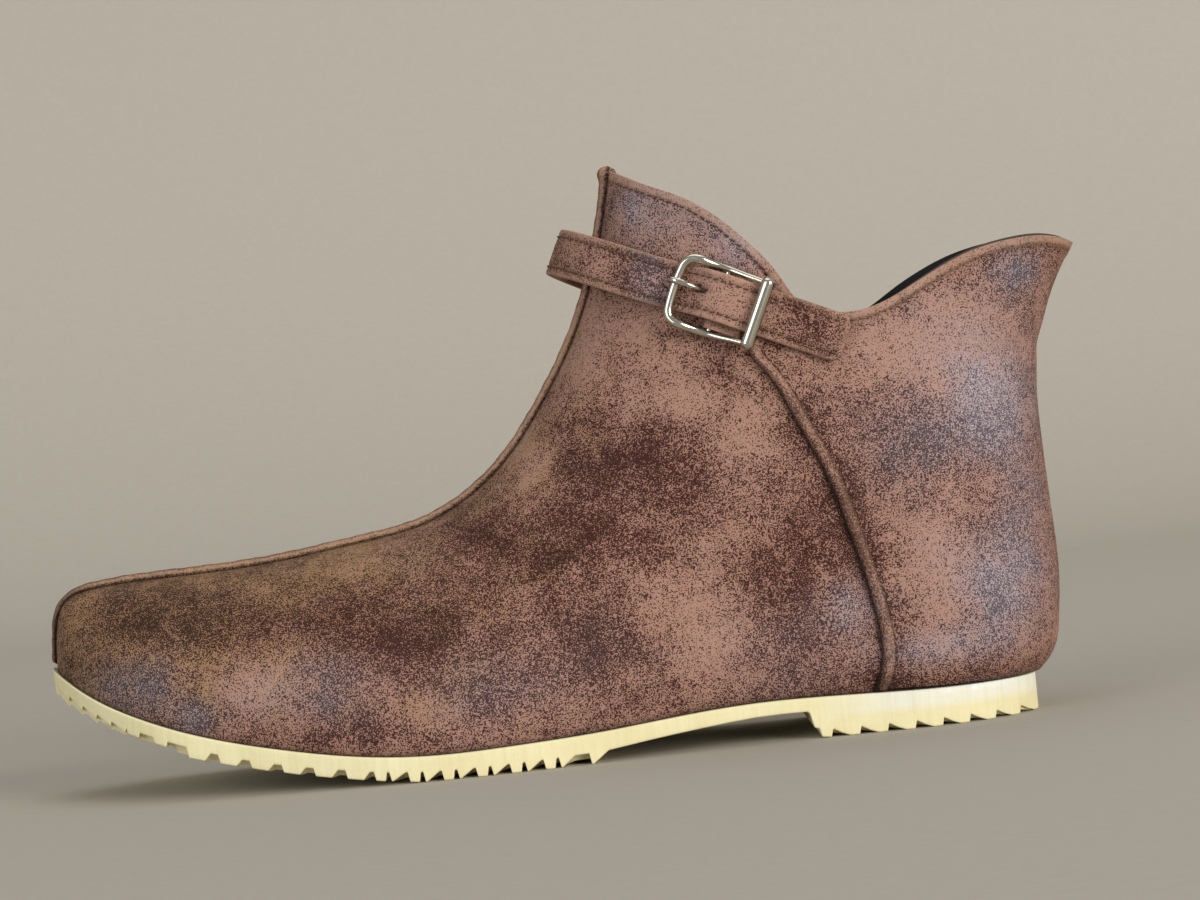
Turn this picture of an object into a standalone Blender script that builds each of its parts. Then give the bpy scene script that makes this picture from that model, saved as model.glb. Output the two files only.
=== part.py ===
"""Ankle boot with a piped centre seam, a wrap-over back quarter, a buckled strap and a ribbed rubber sole.

Left boot, standing on its sole. Toe along -X, heel along +X, outer (buckle) side along -Y, floor at Z = 0.
Sizes are in millimetres. from_toe is measured along the foot from the tip of the toe.
"""

import math

import bmesh
import bpy
import numpy as np
from mathutils import Matrix, Vector

MM = 0.001


def table(columns, *rows):
    """A short table as a dict of arrays, one for each named column."""
    return dict(zip(columns.split(), np.array(rows, float).T))


# Driving sizes
FRAME_ORIGIN = 149.6  # from_toe of the frame's origin, the middle of the boot's length
FRAME_SIDE = 0.35  # the heel's centre line lies this far to the inside of the middle of the boot's width
GAP = 0.3  # between pieces that meet
WALL = 2.0  # leather with its lining
QUARTER_THICK = 1.2
QUARTER_LIFT = 1.2  # its lower edge above the sole, before it is raised off the upper
QUARTER_ROWS, QUARTER_COLUMNS = 18, 14
PIPING_WIDE = 4.2
PIPING_PROUD = 1.8
PIPING_SEAT = 0.45  # its underside above the seam
PIPING_START = 1.2  # above the sole, along the front line
PIPING_PAST = 1.4  # its knob stands past the peak
KNOB = dict(long=6.0, proud=1.7, wide=1.35)  # its size against the rest of the piping
PIPING_SECTIONS = 64
STRAP_WIDE = 13.5
STRAP_THICK = 1.8
INSOLE_THICK = 2.4
INSOLE_INSET = 4.4  # clear of the wall, which leans in at the sole
INSOLE_SEAT = 0.1  # above the upper's lower edge
SHEET_THICK = 3.9  # rubber above the tread
SOLE_MARGIN = 1.2  # rubber standing out past the upper
SOLE_REACH = (-9.0, 296.0)  # ends of the side profile that the plan is cut from

# Nose of the toe, from the tip of the upper
NOSE = -0.8
TOE_ROUND = 42.0
TOE_CROWN = 0.95  # 1 is a square crown and 0 an elliptical one

# Top line of the upper: the vamp, the throat and the front of the shaft
TOP_LINE = table(
    "from_toe height outer_round inner_round",
    (-40, 60.2, 42, 42),
    (5, 60.2, 42, 42),
    (33, 60.5, 42, 42),
    (63, 61.7, 50, 47),
    (91, 65.2, 62, 54),
    (109, 68.6, 66, 58),
    (121.8, 74.6, 66, 60),
    (134.4, 84.8, 64, 61),
    (146, 99.6, 62, 62),
    (154.6, 113.2, 62, 62),
    (161, 126.4, 62, 62),
    (166.2, 141.6, 62, 62),
    (171.4, 163.5, 62, 62),
    (175, 182, 62, 62),
)
PEAK = 163.5

# Back line of the upper, from the edge of the sole to the rear tip of the collar
BACK_LINE = table(
    "height from_toe round",
    (6, 271, 40),
    (10.8, 278.0, 40),
    (16, 283.0, 40),
    (24, 285.4, 41),
    (36, 286.7, 42),
    (56, 286.4, 44),
    (78, 285.6, 47),
    (95, 286.1, 50),
    (109, 289.2, 52),
    (121, 294.0, 54),
    (131.3, 299.9, 55),
    (142, 306, 56),
)
REAR_TIP = 131.3

# Half-widths of the foot either side of the centre seam, and the seam's own swing to the inside
FOOT = table(
    "from_toe seam outer inner",
    (0, 8, 30, 28),
    (20, 7.2, 35.5, 33),
    (45, 5.6, 41.5, 37.5),
    (70, 4, 46, 41.5),
    (98, 2, 49, 44.5),
    (125, 0.8, 47.5, 43.5),
    (155, 0, 42.5, 38),
    (185, 0, 37.5, 34),
    (215, 0, 35, 34),
    (245, 0, 34.5, 34.5),
    (300, 0, 34, 34),
)

# Half-width of the shaft, the heights between which the foot turns into it, and the tuck at the sole
SHAFT = table("height half", (20, 35), (60, 33.8), (90, 31.8), (120, 30.2), (150, 29.5), (185, 29))
SHAFT_FROM, SHAFT_WHOLE = 40, 105
TUCK = table("from_toe depth", (0, 0.8), (100, 1.2), (190, 2.4), (240, 3.4), (300, 3.4))
TUCK_HIGH = 17

# Edge where the upper meets the sole, seen from the side
FEATHER = table(
    "from_toe height",
    (-8, 41.6),
    (-0.8, 37.4),
    (12, 29.9),
    (26, 23.8),
    (45, 17.4),
    (67, 12.2),
    (89, 9.0),
    (110, 7.4),
    (130, 7.3),
    (154, 8.4),
    (176, 10.0),
    (198, 11.3),
    (222, 11.2),
    (246, 10.8),
    (290, 10.8),
)

# Collar, seen from the side: front peak, the drop to the notch, the dip and the rear tip
COLLAR = table(
    "from_toe height",
    (171.4, 163.5),
    (180, 158.2),
    (190.5, 152.9),
    (201, 145.0),
    (209, 136.6),
    (215, 128.4),
    (219.5, 120.6),
    (224, 117.4),
    (230, 116.2),
    (236, 116.2),
    (243, 118.0),
    (251, 121.8),
    (260, 126.4),
    (270, 130.3),
    (281, 132.4),
    (291, 132.8),
    (299.9, 131.3),
)
COLLAR_RAISE = dict(high=1.5, rises=(238, 256), falls=(278, 296))  # its inner half, towards the back

# Front edge of the back quarter, seen from the side
QUARTER_EDGE = table(
    "height from_toe",
    (11, 230.6),
    (17, 233.0),
    (25, 233.9),
    (34, 232.9),
    (46, 230.4),
    (60, 226.8),
    (76, 221.8),
    (89, 216.0),
    (99, 211.6),
    (104.5, 208.0),
    (109, 205.6),
    (114, 209.6),
    (120.6, 219.5),
)

# Rungs of the upper: how far along the front line, and from_toe of the other end on the sole's edge
RUNGS = table(
    "front sole",
    (0, -0.8),
    (22, 13),
    (48, 36),
    (100, 86),
    (150, 146),
    (172, 190),
    (188, 236),
    (196, 278),
)
FOOT_RUNGS = 24
SHAFT_RUNGS = 14
ACROSS = 17
BACK_CLOSES = 200  # from_toe on the sole's edge where the rungs begin to round into the back

# Tread: saw teeth and small lugs at the toe, lugs and lug pairs under the forefoot, saw teeth under the heel
FLAT_FROM = 106.0  # the forefoot stands flat from here back
TOE_RISE = dict(slope=0.05, curve=0.00225)
TOE_TEETH = dict(first=0.5, pitch=4.5, count=5, depth=1.5)
TOE_LUGS = dict(first=23.0, pitch=8.0, count=2, wide=3.6, depth=1.5)
LUGS = dict(first=40.5, pitch=8.75, count=6, wide=6.5, foot=0.72)
PAIRS = dict(first=92.0, pitch=9.2, count=6)
SQUARE_LUG, PAIR_GAP, RAMP_LUG = 3.0, 1.2, 4.2
LAST_LUG = dict(first=150.5, wide=5.2)
ARCH = (160.5, 209.5)
HEEL_TEETH = dict(first=216.0, pitch=7.7, count=8)
BREAST_TOP, BREAST_FOOT = 211.5, 215.0
HEEL_ROOT = 2.1
STEEP = 0.2  # lean of a steep face

# Strap: its centre line lies in a plane that drops towards the heel
STRAP_FRONT = (155.6, 141.6)  # from_toe and height of its foremost point
STRAP_SLOPE = math.radians(24.5)
STRAP_END = 231.0
STRAP_LOOP = dict(long=76.0, wide=33.0)  # half-axes of the free loop round the front
STRAP_SETTLES = (178, 194)  # from_toe where the loop comes down on the leather
STRAP_CLEAR = 0.45
INNER_QUARTER = (198, 210)  # from_toe where the strap climbs on to the back quarter, on the inner side

# Buckle, along the strap (s), across it (t) and out from the leather (n)
BUCKLE_AT = 198.3
BAR_S = dict(tongue_rest=-12.4, keeper=12.2)
FRAME_HALF = dict(tongue_rest=9.4, keeper=8.8)
WIRE = dict(tongue_rest=1.35, arm=1.2, arm_end=0.8, middle=0.8, keeper=1.9)
CORNER = 3.2
KEEPER_PAST = 1.0  # the keeper bar stands out past the arms
PRONG_T = 1.6
PRONG_WIRE = 0.6
PRONG_HOOK = (-0.2, 2.6)  # angles of the hook round the middle bar
PRONG = table("s rise", (-3.4, 0), (-8.6, 0.9), (-11.2, 1), (-13.2, 0.98), (-14.4, 0.83))
PRONG_SECTIONS = 22
ARM = table("s t rise radius", (6, 9.1, 0.42, 0.9), (0, 9.4, 0.05, 1.05))  # rise as a share of the keeper's
STRAP_T = 1.0  # the strap sits a little high in the frame
HOLE_S = -6.0
STRAP_HOLE = dict(long=5.2, wide=2.4)
TAB_ACROSS = (-8.0, 7.4)  # it fills the frame between the arms
TAB_THICK = 0.9
TAB_END = 8.6
TAB_BEND = 4.6  # where its two plies come together
TAB_SLACK = 0.15

# Height of the strap's inner face above the leather, along the buckle
STRAP_RISE = table(
    "s n",
    (-60, 0.45),
    (-20, 0.45),
    (-13, 0.6),
    (-9, 1.5),
    (-4, 3.9),
    (0, 4.7),
    (4, 4.1),
    (9, 2.9),
    (14, 2.5),
    (22, 2.2),
    (60, 2.1),
)

COLOURS = dict(
    leather=(0.23, 0.125, 0.085),
    rubber=(0.83, 0.80, 0.56),
    board=(0.20, 0.15, 0.11),
    metal=(0.75, 0.71, 0.62),
)


def spline(knots, values, at):
    """Natural cubic spline through a table's rows, straight beyond its ends."""
    step = np.diff(knots)
    slope = np.diff(values) / step
    size = len(knots)
    system = np.eye(size)
    right = np.zeros(size)
    for row in range(1, size - 1):
        system[row, row - 1 : row + 2] = step[row - 1], 2 * (step[row - 1] + step[row]), step[row]
        right[row] = 6 * (slope[row] - slope[row - 1])
    bend = np.linalg.solve(system, right)
    at = np.asarray(at, float)
    inside = np.clip(at, knots[0], knots[-1])
    left = np.clip(np.searchsorted(knots, inside, side="right") - 1, 0, size - 2)
    after, before = inside - knots[left], knots[left + 1] - inside
    width = step[left]
    found = (bend[left] * before**3 + bend[left + 1] * after**3) / (6 * width)
    found += (values[left] / width - bend[left] * width / 6) * before
    found += (values[left + 1] / width - bend[left + 1] * width / 6) * after
    first = slope[0] - step[0] * bend[1] / 6
    last = slope[-1] + step[-1] * bend[-2] / 6
    return found + np.minimum(at - knots[0], 0) * first + np.maximum(at - knots[-1], 0) * last


def read(rows, by, wanted, at):
    """A column of a table as a smooth function of another."""
    return spline(rows[by], rows[wanted], at)


def smoothstep(low, high, at):
    share = np.clip((np.asarray(at, float) - low) / (high - low), 0, 1)
    return share * share * (3 - 2 * share)


def blend(first, second, share):
    return first + (second - first) * share


def along(points):
    """Distance of each point from the first, along the line."""
    return np.concatenate([[0], np.cumsum(np.linalg.norm(np.diff(points, axis=0), axis=1))])


def resample(points, at):
    """Points at the given distances along a line."""
    distance = along(points)
    return np.stack([np.interp(at, distance, column) for column in np.asarray(points).T], -1)


def smooth_line(points, count):
    """A spline through a list of points, as evenly spaced points."""
    points = np.asarray(points, float)
    distance = along(points)
    fine = np.linspace(0, distance[-1], 12 * count)
    line = np.stack([spline(distance, column, fine) for column in points.T], -1)
    return resample(line, np.linspace(0, along(line)[-1], count))


# Shape of the last
def top_line():
    """Fine samples of the top line with their inward normals and rounding radii."""
    knots = along(np.stack([TOP_LINE["from_toe"], TOP_LINE["height"]], -1))
    fine = np.linspace(0, knots[-1], 420)
    line = {name: spline(knots, column, fine) for name, column in TOP_LINE.items()}
    run = np.stack([np.gradient(line["from_toe"]), np.gradient(line["height"])], -1)
    run /= np.linalg.norm(run, axis=1)[:, None]
    line["inward"] = np.stack([run[:, 1], -run[:, 0]], -1)
    return line


TOP = top_line()


def feather_height(from_toe):
    return read(FEATHER, "from_toe", "height", from_toe)


def seam_swing(from_toe):
    return FRAME_SIDE + read(FOOT, "from_toe", "seam", from_toe)


def below_top(from_toe, height, side):
    """How close a point lies to the top line: 1 on it, and 0 deeper than the rounding reaches."""
    gone = np.stack([from_toe[..., None] - TOP["from_toe"], height[..., None] - TOP["height"]], -1)
    nearest = np.argmin((gone**2).sum(-1), axis=-1)
    offset = np.take_along_axis(gone, nearest[..., None, None], axis=-2)[..., 0, :]
    depth = (offset * TOP["inward"][nearest]).sum(-1)
    return np.clip(1 - depth / TOP[side + "_round"][nearest], 0, 1)


def half_width(from_toe, height, side):
    """Distance of the upper's outside from its centre seam, at a place seen from the side."""
    from_toe, height = np.broadcast_arrays(np.asarray(from_toe, float), np.asarray(height, float))
    toe = np.clip(1 - (from_toe - NOSE) / TOE_ROUND, 0, 1)
    top = below_top(from_toe, height, side)
    to_back = read(BACK_LINE, "height", "from_toe", height) - from_toe
    back = np.clip(1 - to_back / read(BACK_LINE, "height", "round", height), 0, 1)
    shaft = read(SHAFT, "height", "half", height)
    base = blend(read(FOOT, "from_toe", side, from_toe), shaft, smoothstep(SHAFT_FROM, SHAFT_WHOLE, height))
    low = np.clip(1 - (height - feather_height(from_toe)) / TUCK_HIGH, 0, 1)
    base = base - read(TUCK, "from_toe", "depth", from_toe) * low**2
    round_over = 1 - toe**2 - top**2 + TOE_CROWN * toe**2 * top**2
    return base * np.sqrt(np.clip(round_over, 0, 1) * np.clip(1 - back**2, 0, 1))


def place(from_toe, height, side):
    """Points on the upper's outside, in the frame, from where they show from the side."""
    sign = -1 if side == "outer" else 1
    across = seam_swing(from_toe) + sign * half_width(from_toe, height, side)
    ahead = np.asarray(from_toe, float) - FRAME_ORIGIN
    return np.stack([ahead, across, np.broadcast_to(height, across.shape)], -1)


def front_line():
    """The centre seam seen from the side: up the nose, over the crown and on to the peak."""
    crest, reach = TOP_LINE["height"][0], TOP_LINE["outer_round"][0]
    lowest = 1 - (crest - float(feather_height(NOSE))) / reach
    top = 1 - (1 - lowest) * np.linspace(1, 0, 60) ** 2
    toe = np.sqrt((1 - top**2) / (1 - TOE_CROWN * top**2))
    from_toe = NOSE + TOE_ROUND * (1 - toe)
    nose = np.stack([from_toe, np.interp(from_toe, TOP["from_toe"], TOP["height"]) - reach * (1 - top)], -1)
    rest = (TOP["from_toe"] > nose[-1, 0] + 1) & (TOP["height"] < PEAK)
    vamp = np.stack([TOP["from_toe"][rest], TOP["height"][rest]], -1)
    peak = [[float(np.interp(PEAK, TOP["height"], TOP["from_toe"])), PEAK]]
    return np.concatenate([nose, vamp, peak])


FRONT = front_line()
FRONT_LONG = along(FRONT)[-1]
HEEL_CORNER = float(RUNGS["sole"][-1])


def collar_height(from_toe, side):
    """Height of the collar, which stands up a little on the inner side towards the back."""
    height = read(COLLAR, "from_toe", "height", from_toe)
    if side == "inner":
        rising, falling = (smoothstep(*COLLAR_RAISE[end], from_toe) for end in ("rises", "falls"))
        height = height + COLLAR_RAISE["high"] * rising * (1 - falling)
    return height


def collar_drop(from_front, side):
    """How far the collar lies below the straight line from its front peak to its rear tip."""
    ends = COLLAR["from_toe"][[0, -1]]
    straight = blend(COLLAR["height"][0], COLLAR["height"][-1], from_front)
    return collar_height(blend(ends[0], ends[1], from_front), side) - straight


def collar_share(even):
    """Places along the boot, from the front peak to the rear tip, at even steps along the collar itself."""
    from_front = np.linspace(0, 1, 200)
    ends = COLLAR["from_toe"][[0, -1]]
    spots = blend(ends[0], ends[1], from_front)
    length = along(np.stack([spots, read(COLLAR, "from_toe", "height", spots)], -1))
    return np.interp(even * length[-1], length, from_front)


def upper_rungs(side):
    """Side-view grid of a half: rungs from the front line to the sole's edge, then to the back line."""
    pace = np.linspace(0, 1, FOOT_RUNGS + 1)
    knots = np.linspace(0, 1, len(RUNGS["front"]))
    foot_front = resample(FRONT, spline(knots, RUNGS["front"], pace))
    foot_from_toe = spline(knots, RUNGS["sole"], pace)
    foot_from_toe[0] = foot_front[0, 0]
    foot_base = np.stack([foot_from_toe, feather_height(foot_from_toe)], -1)
    pace = np.linspace(0, 1, SHAFT_RUNGS + 1)[1:]
    shaft_front = resample(FRONT, blend(RUNGS["front"][-1], FRONT_LONG, pace))
    height = blend(float(feather_height(HEEL_CORNER)), REAR_TIP, pace)
    shaft_base = np.stack([read(BACK_LINE, "height", "from_toe", height), height], -1)
    front = np.concatenate([foot_front, shaft_front])
    base = np.concatenate([foot_base, shaft_base])
    bend = np.concatenate([np.zeros(FOOT_RUNGS + 1), pace**2])
    reach = np.concatenate([foot_from_toe, np.full(SHAFT_RUNGS, HEEL_CORNER)])
    closing = smoothstep(BACK_CLOSES, HEEL_CORNER, reach)
    step = np.linspace(0, 1, ACROSS + 1)
    even = (1 - np.cos(step * math.pi)) / 2
    share = blend(1 - np.cos(step * math.pi / 2), even, closing[:, None])
    share = blend(share, collar_share(even), bend[:, None])
    rungs = blend(front[:, None], base[:, None], share[..., None])
    rungs[..., 1] += bend[:, None] * collar_drop(share, side)
    return rungs


# Making of solids
def material(name, colour, roughness, metallic=0.0):
    made = bpy.data.materials.new(name)
    made.use_nodes = True
    shader = made.node_tree.nodes["Principled BSDF"]
    shader.inputs["Base Color"].default_value = (*colour, 1)
    shader.inputs["Roughness"].default_value = roughness
    shader.inputs["Metallic"].default_value = metallic
    return made


def start():
    """An empty scene with a collection for the boot's pieces and one for the cutters."""
    for obj in list(bpy.data.objects):
        bpy.data.objects.remove(obj, do_unlink=True)
    made = {}
    for name in ("ankle_boot", "cutters"):
        made[name] = bpy.data.collections.new(name)
        bpy.context.scene.collection.children.link(made[name])
    return made


GROUPS = start()
LOOKS = dict(
    leather=material("brown_leather", COLOURS["leather"], 0.6),
    rubber=material("cream_rubber", COLOURS["rubber"], 0.7),
    board=material("insole_board", COLOURS["board"], 0.8),
    metal=material("nickel", COLOURS["metal"], 0.25, 1.0),
)


def add(name, mesh, look, smooth_angle=35):
    obj = bpy.data.objects.new(name, mesh)
    GROUPS["ankle_boot"].objects.link(obj)
    if look:
        mesh.materials.append(LOOKS[look])
    mesh.shade_smooth()
    mesh.set_sharp_from_angle(angle=math.radians(smooth_angle))
    return obj


def helper(obj):
    """Hides a piece that only cuts or joins."""
    for group in list(obj.users_collection):
        group.objects.unlink(obj)
    GROUPS["cutters"].objects.link(obj)
    obj.hide_render = True
    obj.display_type = "WIRE"
    return obj


def mesh_from(name, points, faces):
    """A mesh in metres, with its doubles merged and its normals turned outwards."""
    mesh = bpy.data.meshes.new(name)
    mesh.from_pydata((np.asarray(points).reshape(-1, 3) * MM).tolist(), [], faces)
    cleaned = bmesh.new()
    cleaned.from_mesh(mesh)
    bmesh.ops.remove_doubles(cleaned, verts=cleaned.verts, dist=0.02 * MM)
    bmesh.ops.dissolve_degenerate(cleaned, edges=cleaned.edges, dist=0.01 * MM)
    bmesh.ops.recalc_face_normals(cleaned, faces=cleaned.faces)
    cleaned.to_mesh(mesh)
    cleaned.free()
    return mesh


def grid_faces(rows, columns, wrap=False, first=0):
    """Quads of a grid of points, closed across its columns where it wraps."""
    faces = []
    for row in range(rows - 1):
        for column in range(columns if wrap else columns - 1):
            right = (column + 1) % columns
            near = first + row * columns
            far = near + columns
            faces.append([near + column, near + right, far + right, far + column])
    return faces


def loft(name, sections, look, smooth_angle=35):
    """A solid through closed sections with the same number of points, capped at both ends."""
    sections = np.asarray(sections)
    rows, columns = sections.shape[:2]
    faces = grid_faces(rows, columns, wrap=True)
    faces.append(list(range(columns))[::-1])
    faces.append([(rows - 1) * columns + column for column in range(columns)])
    return add(name, mesh_from(name, sections, faces), look, smooth_angle)


def prism(name, outline, half_thick, lift=0.0, upright=False):
    """A flat outline extruded to both sides, lying on the floor or standing upright along the boot."""
    curve = bpy.data.curves.new(name, "CURVE")
    curve.dimensions = "2D"
    curve.fill_mode = "BOTH"
    curve.extrude = half_thick * MM
    edge = curve.splines.new("POLY")
    edge.points.add(len(outline) - 1)
    for point, (first, second) in zip(edge.points, outline):
        point.co = (first * MM, second * MM, 0, 1)
    edge.use_cyclic_u = True
    drawn = bpy.data.objects.new(name, curve)
    bpy.context.scene.collection.objects.link(drawn)
    mesh = meshed(drawn)
    turn = Matrix.Rotation(math.pi / 2, 4, "X") if upright else Matrix.Translation((0, 0, lift * MM))
    mesh.transform(turn)
    return mesh


def meshed(curve_object):
    """A curve object's evaluated shape as a mesh with its caps welded. The curve is removed."""
    bpy.context.view_layer.update()
    evaluated = curve_object.evaluated_get(bpy.context.evaluated_depsgraph_get())
    mesh = bpy.data.meshes.new_from_object(evaluated)
    mesh.transform(curve_object.matrix_world)
    cleaned = bmesh.new()
    cleaned.from_mesh(mesh)
    bmesh.ops.remove_doubles(cleaned, verts=cleaned.verts, dist=0.005 * MM)
    bmesh.ops.recalc_face_normals(cleaned, faces=cleaned.faces)
    cleaned.to_mesh(mesh)
    cleaned.free()
    bpy.data.objects.remove(curve_object)
    return mesh


def wire(name, points, radii, sides=2):
    """A round wire along points in the frame, with its own radius at each, as a mesh."""
    curve = bpy.data.curves.new(name, "CURVE")
    curve.dimensions = "3D"
    curve.bevel_depth = MM
    curve.bevel_resolution = sides
    curve.use_fill_caps = True
    run = curve.splines.new("POLY")
    run.points.add(len(points) - 1)
    for point, place_at, radius in zip(run.points, points, np.broadcast_to(radii, len(points))):
        point.co = (*(np.asarray(place_at) * MM), 1)
        point.radius = radius
    drawn = bpy.data.objects.new(name, curve)
    bpy.context.scene.collection.objects.link(drawn)
    return meshed(drawn)


def boolean(obj, other, operation):
    step = obj.modifiers.new(operation.lower(), "BOOLEAN")
    step.operation = operation
    step.object = helper(other)
    return step


def solidify(obj, thick, outwards):
    wall = obj.modifiers.new("wall", "SOLIDIFY")
    wall.thickness = thick * MM
    wall.offset = 1 if outwards else -1
    wall.use_even_offset = True
    return wall


def lift_off(obj, distance):
    """Raises a sheet off the surface that it was drawn on."""
    raised = obj.modifiers.new("seat", "DISPLACE")
    raised.direction = "NORMAL"
    raised.strength = distance * MM
    raised.mid_level = 0
    return raised


# Sole
def sole_edge(margin, count=46):
    """Plan outline of the upper's lower edge, moved outwards: outer side, then inner side back."""
    turn = np.linspace(0, math.pi, count)
    from_toe = blend(FRONT[0, 0], HEEL_CORNER, (1 - np.cos(turn)) / 2)
    outer = place(from_toe, feather_height(from_toe), "outer")[:, :2]
    inner = place(from_toe, feather_height(from_toe), "inner")[::-1, :2]
    edge = np.concatenate([outer, inner[1:-1]])
    run = np.roll(edge, -1, axis=0) - np.roll(edge, 1, axis=0)
    run /= np.linalg.norm(run, axis=1)[:, None]
    return edge + margin * np.stack([run[:, 1], -run[:, 0]], -1)


def tread_height(from_toe):
    """Lowest line of the tread: flat under the forefoot and heel, rising to the toe."""
    ahead = max(FLAT_FROM - from_toe, 0)
    return TOE_RISE["slope"] * ahead + TOE_RISE["curve"] * ahead**2


def sheet_bottom(from_toe):
    return float(feather_height(from_toe)) - GAP - SHEET_THICK


def saw_tooth(start, pitch, depth):
    """Ramp that runs down towards the heel and steps back up."""
    end = start + 0.9 * pitch
    root = sheet_bottom(end)
    return [(start, sheet_bottom(start)), (end, root - depth), (end + STEEP, root)]


def square_lug(start, wide, depth=None):
    """Steep at both ends, down to the tread line or to its own depth."""
    foot = [start + STEEP, start + wide]
    low = [sheet_bottom(spot) - depth if depth else tread_height(spot) for spot in foot]
    corners = [(start, sheet_bottom(start)), (foot[0], low[0]), (foot[1], low[1])]
    return [*corners, (start + wide + STEEP, sheet_bottom(start + wide))]


def ramp_lug(start, wide, foot=0.15):
    """Steep front, a foot that takes a share of its width, and a ramp up towards the heel."""
    flat, end = start + foot * wide, start + wide
    corners = [(start, sheet_bottom(start)), (start + STEEP, tread_height(start))]
    return [*corners, (flat, tread_height(flat)), (end, sheet_bottom(end))]


def heel_tooth(start, pitch):
    """Ramp down towards the back, a flat foot and a steep step."""
    shares = ((0, HEEL_ROOT), (0.4, 0), (0.93, 0), (0.96, HEEL_ROOT))
    return [(start + share * pitch, height) for share, height in shares]


def places(row):
    return [row["first"] + index * row["pitch"] for index in range(row["count"])]


def sole_profile():
    """Side view of the rubber: along the tread from the toe to the heel, then back along its top."""
    front, back = SOLE_REACH
    tread = [(front, sheet_bottom(front))]
    for start in places(TOE_TEETH):
        tread += saw_tooth(start, TOE_TEETH["pitch"], TOE_TEETH["depth"])
    for start in places(TOE_LUGS):
        tread += square_lug(start, TOE_LUGS["wide"], TOE_LUGS["depth"])
    for start in places(LUGS):
        tread += ramp_lug(start, LUGS["wide"], LUGS["foot"])
    for start in places(PAIRS):
        tread += square_lug(start, SQUARE_LUG)
        tread += ramp_lug(start + SQUARE_LUG + PAIR_GAP, RAMP_LUG)
    tread += ramp_lug(LAST_LUG["first"], LAST_LUG["wide"])
    tread += [(spot, sheet_bottom(spot)) for spot in np.linspace(*ARCH, 8)]
    tread += [(BREAST_TOP, sheet_bottom(BREAST_TOP) - 0.5), (BREAST_FOOT, HEEL_ROOT - 0.6)]
    for start in places(HEEL_TEETH):
        tread += heel_tooth(start, HEEL_TEETH["pitch"])
    tread.append((back, HEEL_ROOT - 0.4))
    top = [(spot, float(feather_height(spot)) - GAP) for spot in np.linspace(back, front, 60)]
    return [(from_toe - FRAME_ORIGIN, height) for from_toe, height in tread + top]


def outsole():
    """One moulded rubber unit of sheet, forefoot lugs, arch and low heel, its profile cut to its plan."""
    body = add("outsole", prism("outsole", sole_profile(), 70, upright=True), "rubber")
    plan = bpy.data.objects.new("sole_plan", prism("sole_plan", sole_edge(SOLE_MARGIN), 40, lift=20))
    boolean(body, plan, "INTERSECT")
    return body


def insole():
    """A board cut to the inside of the upper, lying on the sole from the toe to the heel."""
    edge = sole_edge(-INSOLE_INSET, 34)
    half = len(edge) // 2
    pairs = np.stack([edge[1:half], edge[:half:-1]], 1)
    sections = []
    for outer, inner in pairs:
        base = float(feather_height((outer[0] + inner[0]) / 2 + FRAME_ORIGIN)) + INSOLE_SEAT
        top = base + INSOLE_THICK
        sections.append([(*outer, base), (*inner, base), (*inner, top), (*outer, top)])
    return loft("insole", sections, "board")


# Upper
def upper():
    """Vamp, sides and shaft as one hollow wall, open at the collar and underneath."""
    halves = []
    for side in ("outer", "inner"):
        rungs = upper_rungs(side)
        half = place(rungs[..., 0], rungs[..., 1], side)
        half[:, 0, 1] = seam_swing(rungs[:, 0, 0])
        halves.append(half)
    rows, columns = half.shape[:2]
    faces = [face[::-1] for face in grid_faces(rows, columns)]
    faces += grid_faces(rows, columns, first=rows * columns)
    mesh = mesh_from("upper", np.concatenate(halves), faces)
    turn_outwards(mesh)
    body = add("upper", mesh, "leather")
    solidify(body, WALL, outwards=False)
    return body


def turn_outwards(mesh):
    """Points an open sheet's faces away from the boot's middle."""
    middle = Vector(((230 - FRAME_ORIGIN) * MM, 0, 60 * MM))
    facing = sum((face.center - middle).dot(face.normal) * face.area for face in mesh.polygons)
    if facing < 0:
        mesh.flip_normals()


def back_quarter():
    """Leather panel wrapped round the heel over the upper, from the side edge on one side to the other."""
    levels = np.linspace(0, 1, QUARTER_ROWS) ** 1.4
    edge_height = blend(QUARTER_EDGE["height"][0], QUARTER_EDGE["height"][-1], levels)
    edge = np.stack([read(QUARTER_EDGE, "height", "from_toe", edge_height), edge_height], -1)
    edge[0, 1] = float(feather_height(edge[0, 0])) + QUARTER_LIFT
    back_height = blend(float(feather_height(HEEL_CORNER)) + QUARTER_LIFT, REAR_TIP, levels)
    back = np.stack([read(BACK_LINE, "height", "from_toe", back_height), back_height], -1)
    share = np.sin(np.linspace(0, 1, QUARTER_COLUMNS) * math.pi / 2)
    rows = blend(edge[:, None], back[:, None], share[:, None])
    sole_drop = feather_height(rows[0, :, 0]) + QUARTER_LIFT - rows[0, :, 1]
    halves = []
    for side in ("outer", "inner"):
        top_drop = collar_height(rows[-1, :, 0], side) - blend(edge[-1, 1], back[-1, 1], share)
        height = rows[..., 1] + levels[:, None] ** 3 * top_drop + (1 - levels[:, None]) ** 4 * sole_drop
        halves.append(place(rows[..., 0], height, side))
    sheet = np.concatenate([halves[0], halves[1][:, -2::-1]], axis=1)
    mesh = mesh_from("back_quarter", sheet, grid_faces(*sheet.shape[:2]))
    turn_outwards(mesh)
    body = add("back_quarter", mesh, "leather")
    lift_off(body, GAP)
    solidify(body, QUARTER_THICK, outwards=True)
    return body


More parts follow.
